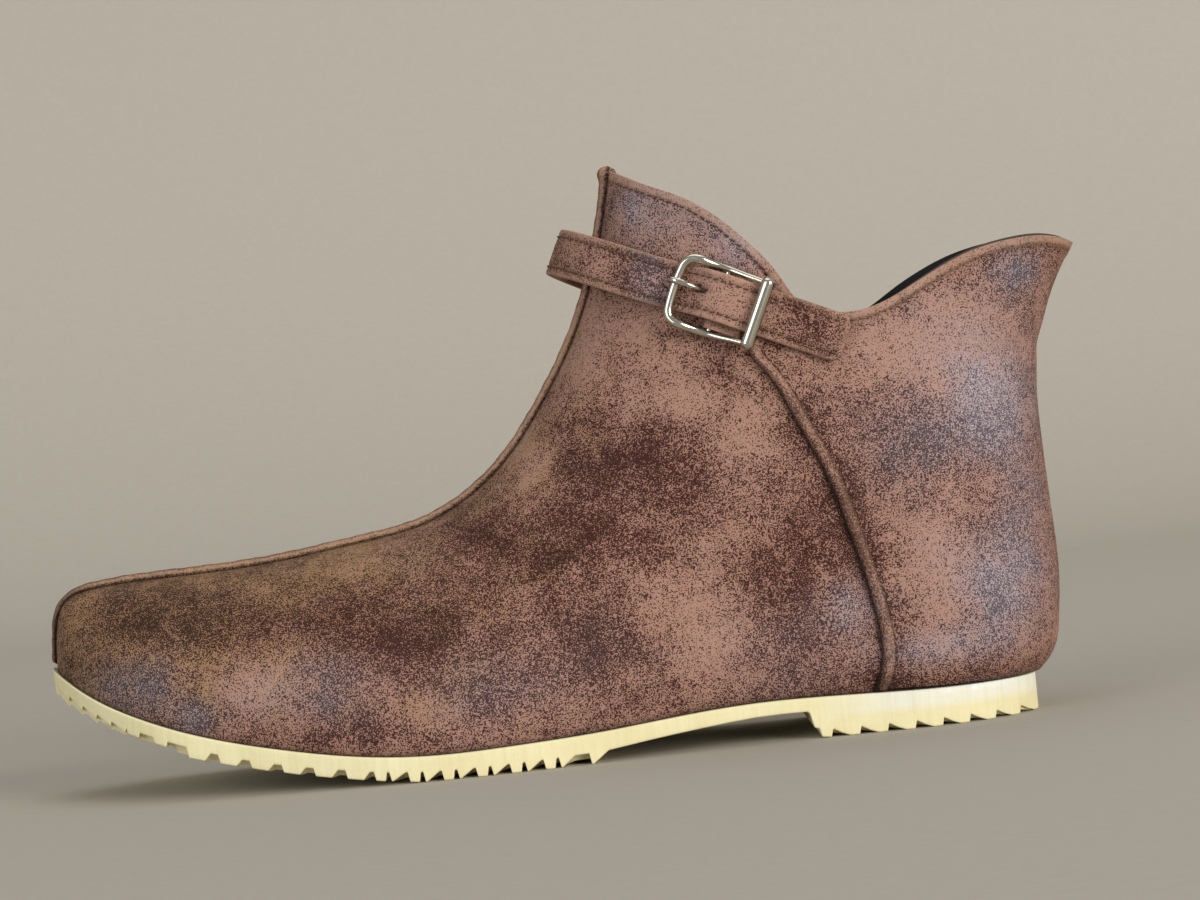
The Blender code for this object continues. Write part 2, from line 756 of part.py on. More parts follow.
def front_piping():
    """Corded strip that stands up from the centre seam, from the sole at the toe to a knob at the peak."""
    ahead = FRONT[-1] - FRONT[-2]
    past = FRONT[-1] + ahead / np.linalg.norm(ahead) * PIPING_PAST
    stations = np.linspace(PIPING_START, FRONT_LONG + PIPING_PAST, PIPING_SECTIONS)
    line = resample(np.vstack([FRONT, past]), stations)
    run = np.gradient(line, axis=0)
    run /= np.linalg.norm(run, axis=1)[:, None]
    outward = np.stack([-run[:, 1], run[:, 0]], -1)
    distance = along(line)
    proud = blend(0.6, 1.0, smoothstep(0, 45, distance)) * PIPING_PROUD
    knob = smoothstep(distance[-1] - KNOB["long"], distance[-1] - 2.5, distance)
    proud = proud * blend(1, KNOB["proud"], knob)
    wide = PIPING_WIDE / 2 * blend(1, KNOB["wide"], knob)
    arch = np.linspace(0, math.pi, 7)
    sections = []
    for spot, out, tall, half in zip(line, outward, proud, wide):
        swing = float(seam_swing(spot[0]))
        ring = []
        for angle in arch:
            raised = spot + out * (PIPING_SEAT + tall * math.sin(angle))
            ring.append((raised[0] - FRAME_ORIGIN, swing + half * math.cos(angle), raised[1]))
        sections.append(ring)
    return loft("front_piping", sections, "leather", 60)


# Strap and buckle
def strap_height(from_toe):
    """Height of the strap's centre line at a place along the boot."""
    return STRAP_FRONT[1] - (np.asarray(from_toe) - STRAP_FRONT[0]) * math.tan(STRAP_SLOPE)


def strap_bed(from_toe, offset, side):
    """Line under the strap at an offset across it: on the leather, or on the free loop round the front."""
    spot = from_toe + math.sin(STRAP_SLOPE) * offset
    height = strap_height(from_toe) + math.cos(STRAP_SLOPE) * offset
    sign = -1 if side == "outer" else 1
    back = np.clip((STRAP_FRONT[0] + STRAP_LOOP["long"] - from_toe) / STRAP_LOOP["long"], 0, 1)
    loop = STRAP_LOOP["wide"] * np.sqrt(1 - back**2)
    leather = sign * (place(spot, height, side)[:, 1] - FRAME_SIDE)
    reach = blend(np.maximum(loop, leather), leather, smoothstep(*STRAP_SETTLES, from_toe))
    return np.stack([spot - FRAME_ORIGIN, FRAME_SIDE + sign * reach, height], -1)


def strap_ribbon(wide, side_runs):
    """Lower and upper edges of the strap's bed from its inner end to its outer one, with outward normals."""
    edges = []
    for sign in (-1, 1):
        runs = [strap_bed(run, lift + sign * wide / 2, side) for side, run, lift in side_runs]
        edges.append(np.concatenate(runs))
    lower, upper_edge = edges
    run = np.gradient((lower + upper_edge) / 2, axis=0)
    out = np.cross(run, upper_edge - lower)
    out /= np.linalg.norm(out, axis=1)[:, None]
    return lower, upper_edge, out


def along_strap(from_toe):
    """Distance from the buckle's middle bar along the strap."""
    return (np.asarray(from_toe) - BUCKLE_AT) / math.cos(STRAP_SLOPE)


class Seat:
    """Frame of the buckle on the outer side: s along the strap, t across it, n out from the leather."""

    def __init__(self):
        spots = np.array([BUCKLE_AT - 1, BUCKLE_AT, BUCKLE_AT + 1])
        lift = np.zeros(3)
        lower, upper_edge, out = strap_ribbon(4.0, [("outer", spots, lift)])
        middle = (lower + upper_edge) / 2
        self.origin = middle[1]
        self.n = out[1]
        self.s = middle[2] - middle[0]
        self.s /= np.linalg.norm(self.s)
        self.t = np.cross(self.n, self.s)

    def at(self, s, t, n):
        return self.origin + s * self.s + t * self.t + n * self.n

    def bed(self, s):
        """How far the leather under the strap lies above the frame's own plane."""
        spot = np.atleast_1d(BUCKLE_AT + s * math.cos(STRAP_SLOPE))
        return float((strap_bed(spot, 0.0, "outer")[0] - self.origin) @ self.n)

    def strap_top(self, s):
        return self.bed(s) + float(read(STRAP_RISE, "s", "n", s)) + STRAP_THICK


SEAT = Seat()


def strap():
    """Stitched leather strap from the inner side, round the front and through the buckle to its free end."""
    pace = np.linspace(0, 1, 30)
    run = STRAP_FRONT[0] + (STRAP_END - STRAP_FRONT[0]) * pace**1.5
    lift = STRAP_T * smoothstep(*STRAP_SETTLES, run[1:])
    sides = [("inner", run[::-1], np.zeros(len(run))), ("outer", run[1:], lift)]
    lower, upper_edge, out = strap_ribbon(STRAP_WIDE, sides)
    over_quarter = GAP + QUARTER_THICK + 2 * GAP
    inner_rise = blend(STRAP_CLEAR, over_quarter, smoothstep(*INNER_QUARTER, run[::-1]))
    outer_rise = read(STRAP_RISE, "s", "n", along_strap(run[1:]))
    rise = np.concatenate([inner_rise, outer_rise])[:, None]
    faces = [lower + out * rise, upper_edge + out * rise]
    faces += [upper_edge + out * (rise + STRAP_THICK), lower + out * (rise + STRAP_THICK)]
    body = loft("strap", np.stack(faces, 1), "leather", 40)
    cut = box("strap_hole", (HOLE_S, PRONG_T, 3.0), (STRAP_HOLE["long"], STRAP_HOLE["wide"], 14.0))
    boolean(body, cut, "DIFFERENCE")
    return body


def box(name, middle, size):
    """A block in the buckle's frame, given by its middle and its size along s, t and n."""
    bpy.ops.mesh.primitive_cube_add(size=MM)
    block = bpy.context.object
    block.name = name
    turn = Matrix((SEAT.s, SEAT.t, SEAT.n)).transposed().to_4x4()
    block.matrix_world = Matrix.Translation(SEAT.at(*middle) * MM) @ turn @ Matrix.Diagonal((*size, 1))
    return block


def bars():
    """Where the three bars of the buckle lie along the strap and out from the leather."""
    rest = SEAT.strap_top(BAR_S["tongue_rest"]) + GAP + WIRE["tongue_rest"]
    keeper = SEAT.strap_top(BAR_S["keeper"]) + GAP + WIRE["keeper"]
    middle = GAP + TAB_THICK + TAB_SLACK + WIRE["middle"]
    return dict(tongue_rest=rest, middle=middle, keeper=keeper)


BAR_N = bars()


def buckle_frame():
    """Bent wire frame with a thick keeper bar across its back and a thin middle bar between its arms."""
    front, back = BAR_S["tongue_rest"], BAR_S["keeper"]
    bend = np.linspace(0, math.pi / 2, 5)
    arm = [(back, FRAME_HALF["keeper"], BAR_N["keeper"], WIRE["arm_end"])]
    for s, t, rise, radius in zip(*ARM.values()):
        arm.append((s, t, blend(BAR_N["middle"], BAR_N["keeper"], rise), radius))
    half_way = blend(BAR_N["middle"], BAR_N["tongue_rest"], 0.5)
    arm.append((0.4 * front, FRAME_HALF["tongue_rest"], half_way, WIRE["arm"]))
    for angle in bend:
        s = front + CORNER * (1 - math.sin(angle))
        t = FRAME_HALF["tongue_rest"] - CORNER * (1 - math.cos(angle))
        arm.append((s, t, BAR_N["tongue_rest"], WIRE["tongue_rest"]))
    path = arm + [(s, -t, n, radius) for s, t, n, radius in arm[::-1]]
    points = [SEAT.at(s, t, n) for s, t, n, radius in path]
    body = add("buckle_frame", wire("buckle_frame", points, [row[3] for row in path]), "metal", 60)
    keeper = ("keeper", back, FRAME_HALF["keeper"] + KEEPER_PAST)
    middle = ("middle", 0.0, FRAME_HALF["tongue_rest"])
    for name, s, half in (keeper, middle):
        reach = half * np.array([-1, -0.97, -0.9, 0.9, 0.97, 1])
        round_end = WIRE[name] * np.array([0.55, 0.85, 1, 1, 0.85, 0.55])
        bar = wire(name + "_bar", [SEAT.at(s, t, BAR_N[name]) for t in reach], round_end)
        boolean(body, bpy.data.objects.new(name + "_bar", bar), "UNION")
    return body


def buckle_prong():
    """Wire tongue hooked over the middle bar, up through the strap's hole and over the front bar."""
    hook = WIRE["middle"] + TAB_SLACK + PRONG_WIRE
    rest = BAR_N["tongue_rest"] + WIRE["tongue_rest"] + GAP + PRONG_WIRE
    middle = BAR_N["middle"]
    turns = np.linspace(*PRONG_HOOK, 6)
    path = [(hook * math.cos(turn), middle + hook * math.sin(turn)) for turn in turns]
    path += [(s, blend(middle + 0.7, rest, share)) for s, share in zip(PRONG["s"], PRONG["rise"])]
    points = smooth_line([SEAT.at(s, PRONG_T, n) for s, n in path], PRONG_SECTIONS)
    radii = np.full(PRONG_SECTIONS, PRONG_WIRE)
    radii[-2:] = 0.7 * PRONG_WIRE, 0.4 * PRONG_WIRE
    return add("buckle_prong", wire("buckle_prong", points, radii), "metal", 60)


def buckle_tab():
    """Leather loop folded round the middle bar, slotted for the tongue, its two ends lying on the upper."""
    bar = BAR_N["middle"]
    inside = WIRE["middle"] + TAB_SLACK
    outside = inside + TAB_THICK
    low = SEAT.bed(TAB_END) + GAP
    turns = np.linspace(-math.pi / 2, -3 * math.pi / 2, 9)
    fold = [(outside * math.cos(angle), bar + outside * math.sin(angle)) for angle in turns]
    hollow = [(inside * math.cos(angle), bar + inside * math.sin(angle)) for angle in turns[::-1]]
    ends = [(TAB_END, low + 2 * TAB_THICK + TAB_SLACK), (TAB_END, low + TAB_THICK + TAB_SLACK)]
    seat = [(TAB_END, low + TAB_THICK), (TAB_END, low)]
    upper_ply = [(TAB_BEND, low + 2 * TAB_THICK + 0.7), *ends, (TAB_BEND, low + TAB_THICK + 0.6)]
    lower_ply = [(TAB_BEND, low + TAB_THICK + 0.3), *seat, (TAB_BEND, low + 0.2)]
    outline = [*fold, *upper_ply, *hollow, *lower_ply]
    sections = [[SEAT.at(s, t, n) for s, n in outline] for t in TAB_ACROSS]
    body = loft("buckle_tab", sections, "leather", 40)
    slot = box("tongue_slot", (-0.6, PRONG_T, bar), (5.2, 2 * PRONG_WIRE + 1.0, 6.0))
    boolean(body, slot, "DIFFERENCE")
    return body


def main():
    outsole()
    insole()
    upper()
    back_quarter()
    front_piping()
    strap()
    buckle_frame()
    buckle_prong()
    buckle_tab()


main()
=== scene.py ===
"""Looks of a left ankle boot: clouded brown leather, a piped centre seam, a buckled strap and a cream sole.

Sizes are in millimetres and become metres when a mesh is made. from_toe is measured along the foot.
"""

import math

import bmesh
import bpy
import numpy as np
from mathutils import Matrix, Vector


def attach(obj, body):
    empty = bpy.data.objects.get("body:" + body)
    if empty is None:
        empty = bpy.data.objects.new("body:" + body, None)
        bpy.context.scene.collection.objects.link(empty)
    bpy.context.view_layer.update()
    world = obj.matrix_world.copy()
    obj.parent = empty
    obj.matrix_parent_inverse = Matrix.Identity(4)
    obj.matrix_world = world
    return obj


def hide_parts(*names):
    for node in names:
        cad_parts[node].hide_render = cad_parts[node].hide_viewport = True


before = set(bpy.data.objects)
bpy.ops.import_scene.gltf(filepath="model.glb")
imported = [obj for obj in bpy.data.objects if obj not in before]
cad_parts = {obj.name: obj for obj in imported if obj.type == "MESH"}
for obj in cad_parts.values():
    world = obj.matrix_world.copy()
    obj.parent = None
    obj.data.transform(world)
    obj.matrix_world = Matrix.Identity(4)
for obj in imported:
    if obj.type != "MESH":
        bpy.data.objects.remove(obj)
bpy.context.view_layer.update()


# Upper. Two halves of clouded brown leather on black lining cloth, sewn together along the front under a
# piped seam and closed at the back. The collar is turned in and stitched, and the lower edge is lasted under
# the foot and cemented to the sole.
MM = 0.001
FRAME_ORIGIN = 149.6
FRAME_SIDE = 0.35
WALL = 2.0
NOSE = -0.8
TOE_ROUND = 42.0
TOE_CROWN = 0.95
PEAK = 163.5
REAR_TIP = 131.3


def table(columns, *rows):
    """A short table as a dict of arrays, one for each named column."""
    return dict(zip(columns.split(), np.array(rows, float).T))


TOP_LINE = table(
    "from_toe height outer_round inner_round",
    (-40, 60.2, 42, 42),
    (5, 60.2, 42, 42),
    (33, 60.5, 42, 42),
    (63, 61.7, 50, 47),
    (91, 65.2, 62, 54),
    (109, 68.6, 66, 58),
    (121.8, 74.6, 66, 60),
    (134.4, 84.8, 64, 61),
    (146, 99.6, 62, 62),
    (154.6, 113.2, 62, 62),
    (161, 126.4, 62, 62),
    (166.2, 141.6, 62, 62),
    (171.4, 163.5, 62, 62),
    (175, 182, 62, 62),
)
BACK_LINE = table(
    "height from_toe round",
    (6, 271, 40),
    (10.8, 278.0, 40),
    (16, 283.0, 40),
    (24, 285.4, 41),
    (36, 286.7, 42),
    (56, 286.4, 44),
    (78, 285.6, 47),
    (95, 286.1, 50),
    (109, 289.2, 52),
    (121, 294.0, 54),
    (131.3, 299.9, 55),
    (142, 306, 56),
)
FOOT = table(
    "from_toe seam outer inner",
    (0, 8, 30, 28),
    (20, 7.2, 35.5, 33),
    (45, 5.6, 41.5, 37.5),
    (70, 4, 46, 41.5),
    (98, 2, 49, 44.5),
    (125, 0.8, 47.5, 43.5),
    (155, 0, 42.5, 38),
    (185, 0, 37.5, 34),
    (215, 0, 35, 34),
    (245, 0, 34.5, 34.5),
    (300, 0, 34, 34),
)
SHAFT = table("height half", (20, 35), (60, 33.8), (90, 31.8), (120, 30.2), (150, 29.5), (185, 29))
SHAFT_FROM, SHAFT_WHOLE = 40, 105
TUCK = table("from_toe depth", (0, 0.8), (100, 1.2), (190, 2.4), (240, 3.4), (300, 3.4))
TUCK_HIGH = 17
FEATHER = table(
    "from_toe height",
    (-8, 41.6),
    (-0.8, 37.4),
    (12, 29.9),
    (26, 23.8),
    (45, 17.4),
    (67, 12.2),
    (89, 8.6),
    (110, 7.2),
    (130, 7.6),
    (154, 8.7),
    (176, 10.5),
    (198, 11.7),
    (222, 11.4),
    (246, 10.8),
    (290, 10.8),
)
COLLAR = table(
    "from_toe height",
    (171.4, 163.5),
    (180, 158.2),
    (190.5, 152.9),
    (201, 145.0),
    (209, 136.6),
    (215, 128.4),
    (219.5, 120.6),
    (224, 117.4),
    (230, 116.2),
    (236, 116.2),
    (243, 118.0),
    (251, 121.8),
    (260, 126.4),
    (270, 130.3),
    (281, 132.4),
    (291, 132.8),
    (299.9, 131.3),
)
COLLAR_RAISE = dict(high=1.5, rises=(238, 256), falls=(278, 296))  # its inner half, towards the back
QUARTER_EDGE = table(
    "height from_toe",
    (11, 230.6),
    (17, 233.0),
    (25, 233.9),
    (34, 232.9),
    (46, 230.4),
    (60, 226.8),
    (76, 221.8),
    (89, 216.0),
    (99, 211.6),
    (104.5, 208.0),
    (109, 205.6),
    (114, 209.6),
    (120.6, 219.5),
)
RUNGS = table(
    "front sole",
    (0, -0.8),
    (22, 13),
    (48, 36),
    (100, 86),
    (150, 146),
    (172, 190),
    (188, 236),
    (196, 278),
)
BACK_CLOSES = 200
FOOT_RUNGS, SHAFT_RUNGS, ACROSS = 130, 76, 78
HEM_WIDE, HEM_PROUD = 4.2, 0.35
HEM_ENDS = (206, 214)  # the upper's hem fades out here, where the quarter takes over
SEAM_CALM, NOSE_CALM = 9.0, (-4, 8)  # no dents this close to the seam and the nose
COLLAR_ROW = 2.4  # of stitches, below the collar's edge
COLLAR_RUBBED = (1.4, 2.8)  # pale above the first, plain below the second
# The dark line beside the piping and ahead of the quarter is a painted shadow line.
SHADE_LINE_REACH = 5.0  # how far from a seam its distance is kept as a mark
SHADE_LINE_SLOWER = 0.6  # the dark line reaches further ahead of the quarter than beside the piping
BAND_ENDS = (88, 102)  # heights between which the dark band beside the quarter's edge fades
BOOT_MIDDLE = (80, 0, 60)

# Clouds of the dyed leather: where they lie on the side, how far they reach, and how dark or hazy they are.
# The haziness is partly the finish's own grey-violet tone and partly a painted sheen.
CLOUDS = table(
    "from_toe height long high dark haze",
    (29, 50, 20, 9, 1.0, 0.0),
    (57, 45, 11, 8, 0.8, 0.0),
    (27, 31, 11, 8, 0.9, 0.7),
    (43, 22, 6, 5, 0.8, 0.6),
    (85, 47, 15, 8, 0.9, 0.0),
    (98, 40, 13, 10, 0.8, 0.0),
    (107, 35, 11, 8, 0.5, 0.0),
    (83, 27, 11, 9, 0.8, 0.55),
    (88, 15, 17, 5, 0.9, 0.1),
    (122, 48, 18, 11, 0.6, 0.0),
    (127, 65, 13, 8, 0.8, 0.0),
    (146, 60, 12, 9, 1.0, 0.0),
    (148, 42, 14, 9, 0.4, 0.0),
    (176, 85, 12, 9, 0.8, 0.0),
    (182, 73, 9, 9, 0.9, 0.0),
    (159, 78, 11, 9, 0.9, 0.0),
    (159, 63, 10, 7, 0.9, 0.0),
    (174, 57, 11, 6, 0.9, 0.0),
    (151, 92, 9, 9, 0.35, 0.0),
    (158, 30, 18, 10, 0.7, 0.1),
    (131, 22, 18, 10, 0.6, 0.3),
    (206, 44, 14, 11, 0.95, 0.0),
    (217, 60, 11, 13, 0.7, 0.0),
    (207, 30, 13, 8, 0.6, 0.2),
    (226, 35, 8, 7, 0.0, 0.7),
    (206, 17, 14, 6, 0.5, 0.2),
    (195, 102, 5, 4, 0.7, 0.0),
    (190, 148, 14, 10, -0.4, 0.35),
    (205, 137, 7, 7, 0.0, 0.8),
    (249, 78, 14, 13, 1.0, 0.6),
    (270, 87, 11, 13, 0.1, 1.1),
    (269, 38, 11, 13, 0.5, 1.2),
    (276, 60, 7, 14, 0.5, 0.6),
    (250, 13, 22, 3, 0.7, 0.0),
    (250, 22, 20, 5, -0.3, 0.5),
    (281, 124, 8, 6, 0.6, 0.7),
    (156, 113, 10, 10, -0.7, 0.0),
    (187, 33, 12, 15, -1.0, 0.0),
    (250, 44, 9, 16, -1.1, 0.1),
    (237, 106, 12, 10, -0.6, 0.0),
    (262, 106, 20, 14, -0.7, 0.35),
    (62, 28, 12, 8, -0.45, 0.25),
    (108, 18, 12, 6, -0.5, 0.0),
    (95, 60, 16, 5, -0.4, 0.0),
    (184, 99, 10, 8, -0.8, 0.0),
    (201, 86, 7, 8, -0.7, 0.0),
    (187, 52, 8, 6, -0.5, 0.0),
    (141, 86, 5, 9, -1.0, 0.0),
    (172, 122, 14, 7, -0.8, 0.0),
    (177, 152, 5, 7, 0.0, 0.5),
)
INNER_SHIFT = (21.0, -7.0)  # the inner half is cut from another part of the hide

# Soft dents: side, middle, reach along and across the dent, its slant and its depth
DENTS = (
    ("both", 280, 102, 13, 4.0, 12, 0.9),
    ("outer", 262, 97, 16, 6.0, -35, 0.5),
    ("both", 148, 84, 15, 4.0, -40, 0.5),
    ("outer", 163, 74, 22, 6.0, -52, 0.45),
    ("inner", 160, 78, 20, 5.0, -48, 0.6),
    ("both", 108, 58, 18, 5.0, 8, 0.4),
    ("both", 196, 130, 14, 5.0, -38, 0.35),
)


def spline(knots, values, at):
    """Natural cubic spline through a table's rows, straight beyond its ends."""
    step = np.diff(knots)
    slope = np.diff(values) / step
    size = len(knots)
    system = np.eye(size)
    right = np.zeros(size)
    for row in range(1, size - 1):
        system[row, row - 1 : row + 2] = step[row - 1], 2 * (step[row - 1] + step[row]), step[row]
        right[row] = 6 * (slope[row] - slope[row - 1])
    bend = np.linalg.solve(system, right)
    at = np.asarray(at, float)
    inside = np.clip(at, knots[0], knots[-1])
    left = np.clip(np.searchsorted(knots, inside, side="right") - 1, 0, size - 2)
    after, before = inside - knots[left], knots[left + 1] - inside
    width = step[left]
    found = (bend[left] * before**3 + bend[left + 1] * after**3) / (6 * width)
    found += (values[left] / width - bend[left] * width / 6) * before
    found += (values[left + 1] / width - bend[left + 1] * width / 6) * after
    first = slope[0] - step[0] * bend[1] / 6
    last = slope[-1] + step[-1] * bend[-2] / 6
    return found + np.minimum(at - knots[0], 0) * first + np.maximum(at - knots[-1], 0) * last


def read(rows, by, wanted, at):
    """A column of a table as a smooth function of another."""
    return spline(rows[by], rows[wanted], at)


def smoothstep(low, high, at):
    """0 before low and 1 after high, with an S between them."""
    share = np.clip((np.asarray(at, float) - low) / (high - low), 0, 1)
    return share * share * (3 - 2 * share)


def blend(first, second, share):
    """A share of the way from the first value to the second."""
    return first + (second - first) * share


def bell(distance, wide):
    """1 at no distance, falling off evenly to both sides like a bell."""
    return np.exp(-((distance / wide) ** 2))


def eased(count):
    """Shares from 0 to 1, close together at both ends."""
    return (1 - np.cos(np.linspace(0, math.pi, count))) / 2


def circle(count):
    """Angles evenly round a circle."""
    return np.linspace(0, 2 * math.pi, count, endpoint=False)


def along(points):
    """Distance of each point from the first, along the line."""
    return np.concatenate([[0], np.cumsum(np.linalg.norm(np.diff(points, axis=0), axis=1))])


def sampled(vectors, distance, at):
    """Vectors known at some distances along a line, read at others."""
    return np.stack([np.interp(at, distance, column) for column in np.asarray(vectors).T], -1)


def resample(points, at):
    """Points at the given distances along a line."""
    return sampled(points, along(points), at)


def unit(vectors):
    """Vectors at length one."""
    return vectors / np.maximum(np.linalg.norm(vectors, axis=-1, keepdims=True), 1e-9)


def to_right(run):
    """Directions in a plane, turned a quarter to the right."""
    return np.stack([run[:, 1], -run[:, 0]], -1)


def side_line(rows, heights):
    """Points seen from the side, from a table that gives from_toe by height."""
    return np.stack([read(rows, "height", "from_toe", heights), heights], -1)


def top_line():
    """Fine samples of the top line with their inward normals and rounding radii."""
    knots = along(np.stack([TOP_LINE["from_toe"], TOP_LINE["height"]], -1))
    fine = np.linspace(0, knots[-1], 420)
    line = {name: spline(knots, column, fine) for name, column in TOP_LINE.items()}
    run = unit(np.stack([np.gradient(line["from_toe"]), np.gradient(line["height"])], -1))
    line["inward"] = to_right(run)
    return line


TOP = top_line()


def feather_height(from_toe):
    """Height of the edge where the upper meets the sole."""
    return read(FEATHER, "from_toe", "height", from_toe)


def seam_swing(from_toe):
    """How far the centre seam lies to the inside."""
    return FRAME_SIDE + read(FOOT, "from_toe", "seam", from_toe)


def below_top(from_toe, height, side):
    """How close a point lies to the top line: 1 on it, and 0 deeper than the rounding reaches."""
    gone = np.stack([from_toe[..., None] - TOP["from_toe"], height[..., None] - TOP["height"]], -1)
    nearest = np.argmin((gone**2).sum(-1), axis=-1)
    offset = np.take_along_axis(gone, nearest[..., None, None], axis=-2)[..., 0, :]
    depth = (offset * TOP["inward"][nearest]).sum(-1)
    return np.clip(1 - depth / TOP[side + "_round"][nearest], 0, 1)


def half_width(from_toe, height, side):
    """Distance of the upper's outside from its centre seam: the width of foot or shaft, rounded off like an
    ellipse towards the nose, the top line and the back, less the tuck at the sole."""
    from_toe, height = np.broadcast_arrays(np.asarray(from_toe, float), np.asarray(height, float))
    toe = np.clip(1 - (from_toe - NOSE) / TOE_ROUND, 0, 1)
    top = below_top(from_toe, height, side)
    to_back = read(BACK_LINE, "height", "from_toe", height) - from_toe
    back = np.clip(1 - to_back / read(BACK_LINE, "height", "round", height), 0, 1)
    shaft = read(SHAFT, "height", "half", height)
    base = blend(read(FOOT, "from_toe", side, from_toe), shaft, smoothstep(SHAFT_FROM, SHAFT_WHOLE, height))
    low = np.clip(1 - (height - feather_height(from_toe)) / TUCK_HIGH, 0, 1)
    base = base - read(TUCK, "from_toe", "depth", from_toe) * low**2
    round_over = 1 - toe**2 - top**2 + TOE_CROWN * toe**2 * top**2
    return base * np.sqrt(np.clip(round_over, 0, 1) * np.clip(1 - back**2, 0, 1))


def place(from_toe, height, side):
    """Points on the upper's outside, in the frame, from where they show from the side."""
    sign = -1 if side == "outer" else 1
    across = seam_swing(from_toe) + sign * half_width(from_toe, height, side)
    ahead = np.asarray(from_toe, float) - FRAME_ORIGIN
    return np.stack([ahead, across, np.broadcast_to(height, across.shape)], -1)


def front_line():
    """The centre seam seen from the side: up the nose, over the crown and on to the peak."""
    crest, reach = TOP_LINE["height"][0], TOP_LINE["outer_round"][0]
    lowest = 1 - (crest - float(feather_height(NOSE))) / reach
    top = 1 - (1 - lowest) * np.linspace(1, 0, 60) ** 2
    toe = np.sqrt((1 - top**2) / (1 - TOE_CROWN * top**2))
    from_toe = NOSE + TOE_ROUND * (1 - toe)
    nose = np.stack([from_toe, np.interp(from_toe, TOP["from_toe"], TOP["height"]) - reach * (1 - top)], -1)
    rest = (TOP["from_toe"] > nose[-1, 0] + 1) & (TOP["height"] < PEAK)
    vamp = np.stack([TOP["from_toe"][rest], TOP["height"][rest]], -1)
    peak = [[float(np.interp(PEAK, TOP["height"], TOP["from_toe"])), PEAK]]
    return np.concatenate([nose, vamp, peak])


FRONT = front_line()
FRONT_LONG = along(FRONT)[-1]
HEEL_CORNER = float(RUNGS["sole"][-1])


def collar_height(from_toe, side):
    """Height of the collar, which stands up a little on the inner side towards the back."""
    height = read(COLLAR, "from_toe", "height", from_toe)
    if side == "inner":
        rising, falling = (smoothstep(*COLLAR_RAISE[end], from_toe) for end in ("rises", "falls"))
        height = height + COLLAR_RAISE["high"] * rising * (1 - falling)
    return height


def collar_line(count, side):
    """The collar seen from the side, from the front peak to the rear tip, at even steps along itself."""
    spots = np.linspace(COLLAR["from_toe"][0], COLLAR["from_toe"][-1], 300)
    line = np.stack([spots, collar_height(spots, side)], -1)
    return resample(line, np.linspace(0, along(line)[-1], count))


def upper_rungs(side):
    """Side-view grid of a half: rungs from the front line to the sole's edge, then to the back line. The
    last rung is bent down to the collar."""
    pace = np.linspace(0, 1, FOOT_RUNGS + 1)
    knots = np.linspace(0, 1, len(RUNGS["front"]))
    foot_front = resample(FRONT, spline(knots, RUNGS["front"], pace))
    foot_from_toe = spline(knots, RUNGS["sole"], pace)
    foot_from_toe[0] = foot_front[0, 0]
    foot_base = np.stack([foot_from_toe, feather_height(foot_from_toe)], -1)
    pace = np.linspace(0, 1, SHAFT_RUNGS + 1)[1:]
    shaft_front = resample(FRONT, blend(RUNGS["front"][-1], FRONT_LONG, pace))
    height = blend(float(feather_height(HEEL_CORNER)), REAR_TIP, pace)
    shaft_base = side_line(BACK_LINE, height)
    front = np.concatenate([foot_front, shaft_front])
    base = np.concatenate([foot_base, shaft_base])
    bend = np.concatenate([np.zeros(FOOT_RUNGS + 1), pace**2])
    reach = np.concatenate([foot_from_toe, np.full(SHAFT_RUNGS, HEEL_CORNER)])
    closing = smoothstep(BACK_CLOSES, HEEL_CORNER, reach)
    step = np.linspace(0, 1, ACROSS + 1)
    even = (1 - np.cos(step * math.pi)) / 2
    share = blend(1 - np.cos(step * math.pi / 2), even, closing[:, None])
    ends = COLLAR["from_toe"][[0, -1]]
    collar = collar_line(300, "outer")
    collar_share = (resample(collar, even * along(collar)[-1])[:, 0] - ends[0]) / np.ptp(ends)
    share = blend(share, collar_share, bend[:, None])
    rungs = blend(front[:, None], base[:, None], share[..., None])
    straight = blend(COLLAR["height"][0], COLLAR["height"][-1], share)
    drop = collar_height(blend(ends[0], ends[1], share), side) - straight
    rungs[..., 1] += bend[:, None] * drop
    return rungs


def distance_to(line, points):
    """Shortest distance from each point, or point of a grid, to a line of samples."""
    found = np.full(points.shape[:-1], np.inf)
    for spot in line:
        found = np.minimum(found, np.linalg.norm(points - spot, axis=-1))
    return found


def grid_quads(rows, columns, ring=False):
    """Corner numbers of the quads between neighbouring rows and columns. A ring joins its last column to its
    first."""
    row = np.arange(rows - 1)[:, None] * columns
    near = np.arange(columns if ring else columns - 1)
    far = (near + 1) % columns
    return np.stack([row + near, row + far, row + columns + far, row + columns + near], -1).reshape(-1, 4)


def grid_normals(grid):
    """Normals of a grid of points: the cross product of its steps along columns and rows."""
    return unit(np.cross(np.gradient(grid, axis=1), np.gradient(grid, axis=0)))


def linked(name, data):
    """A new object in the scene."""
    made = bpy.data.objects.new(name, data)
    bpy.context.scene.collection.objects.link(made)
    return made


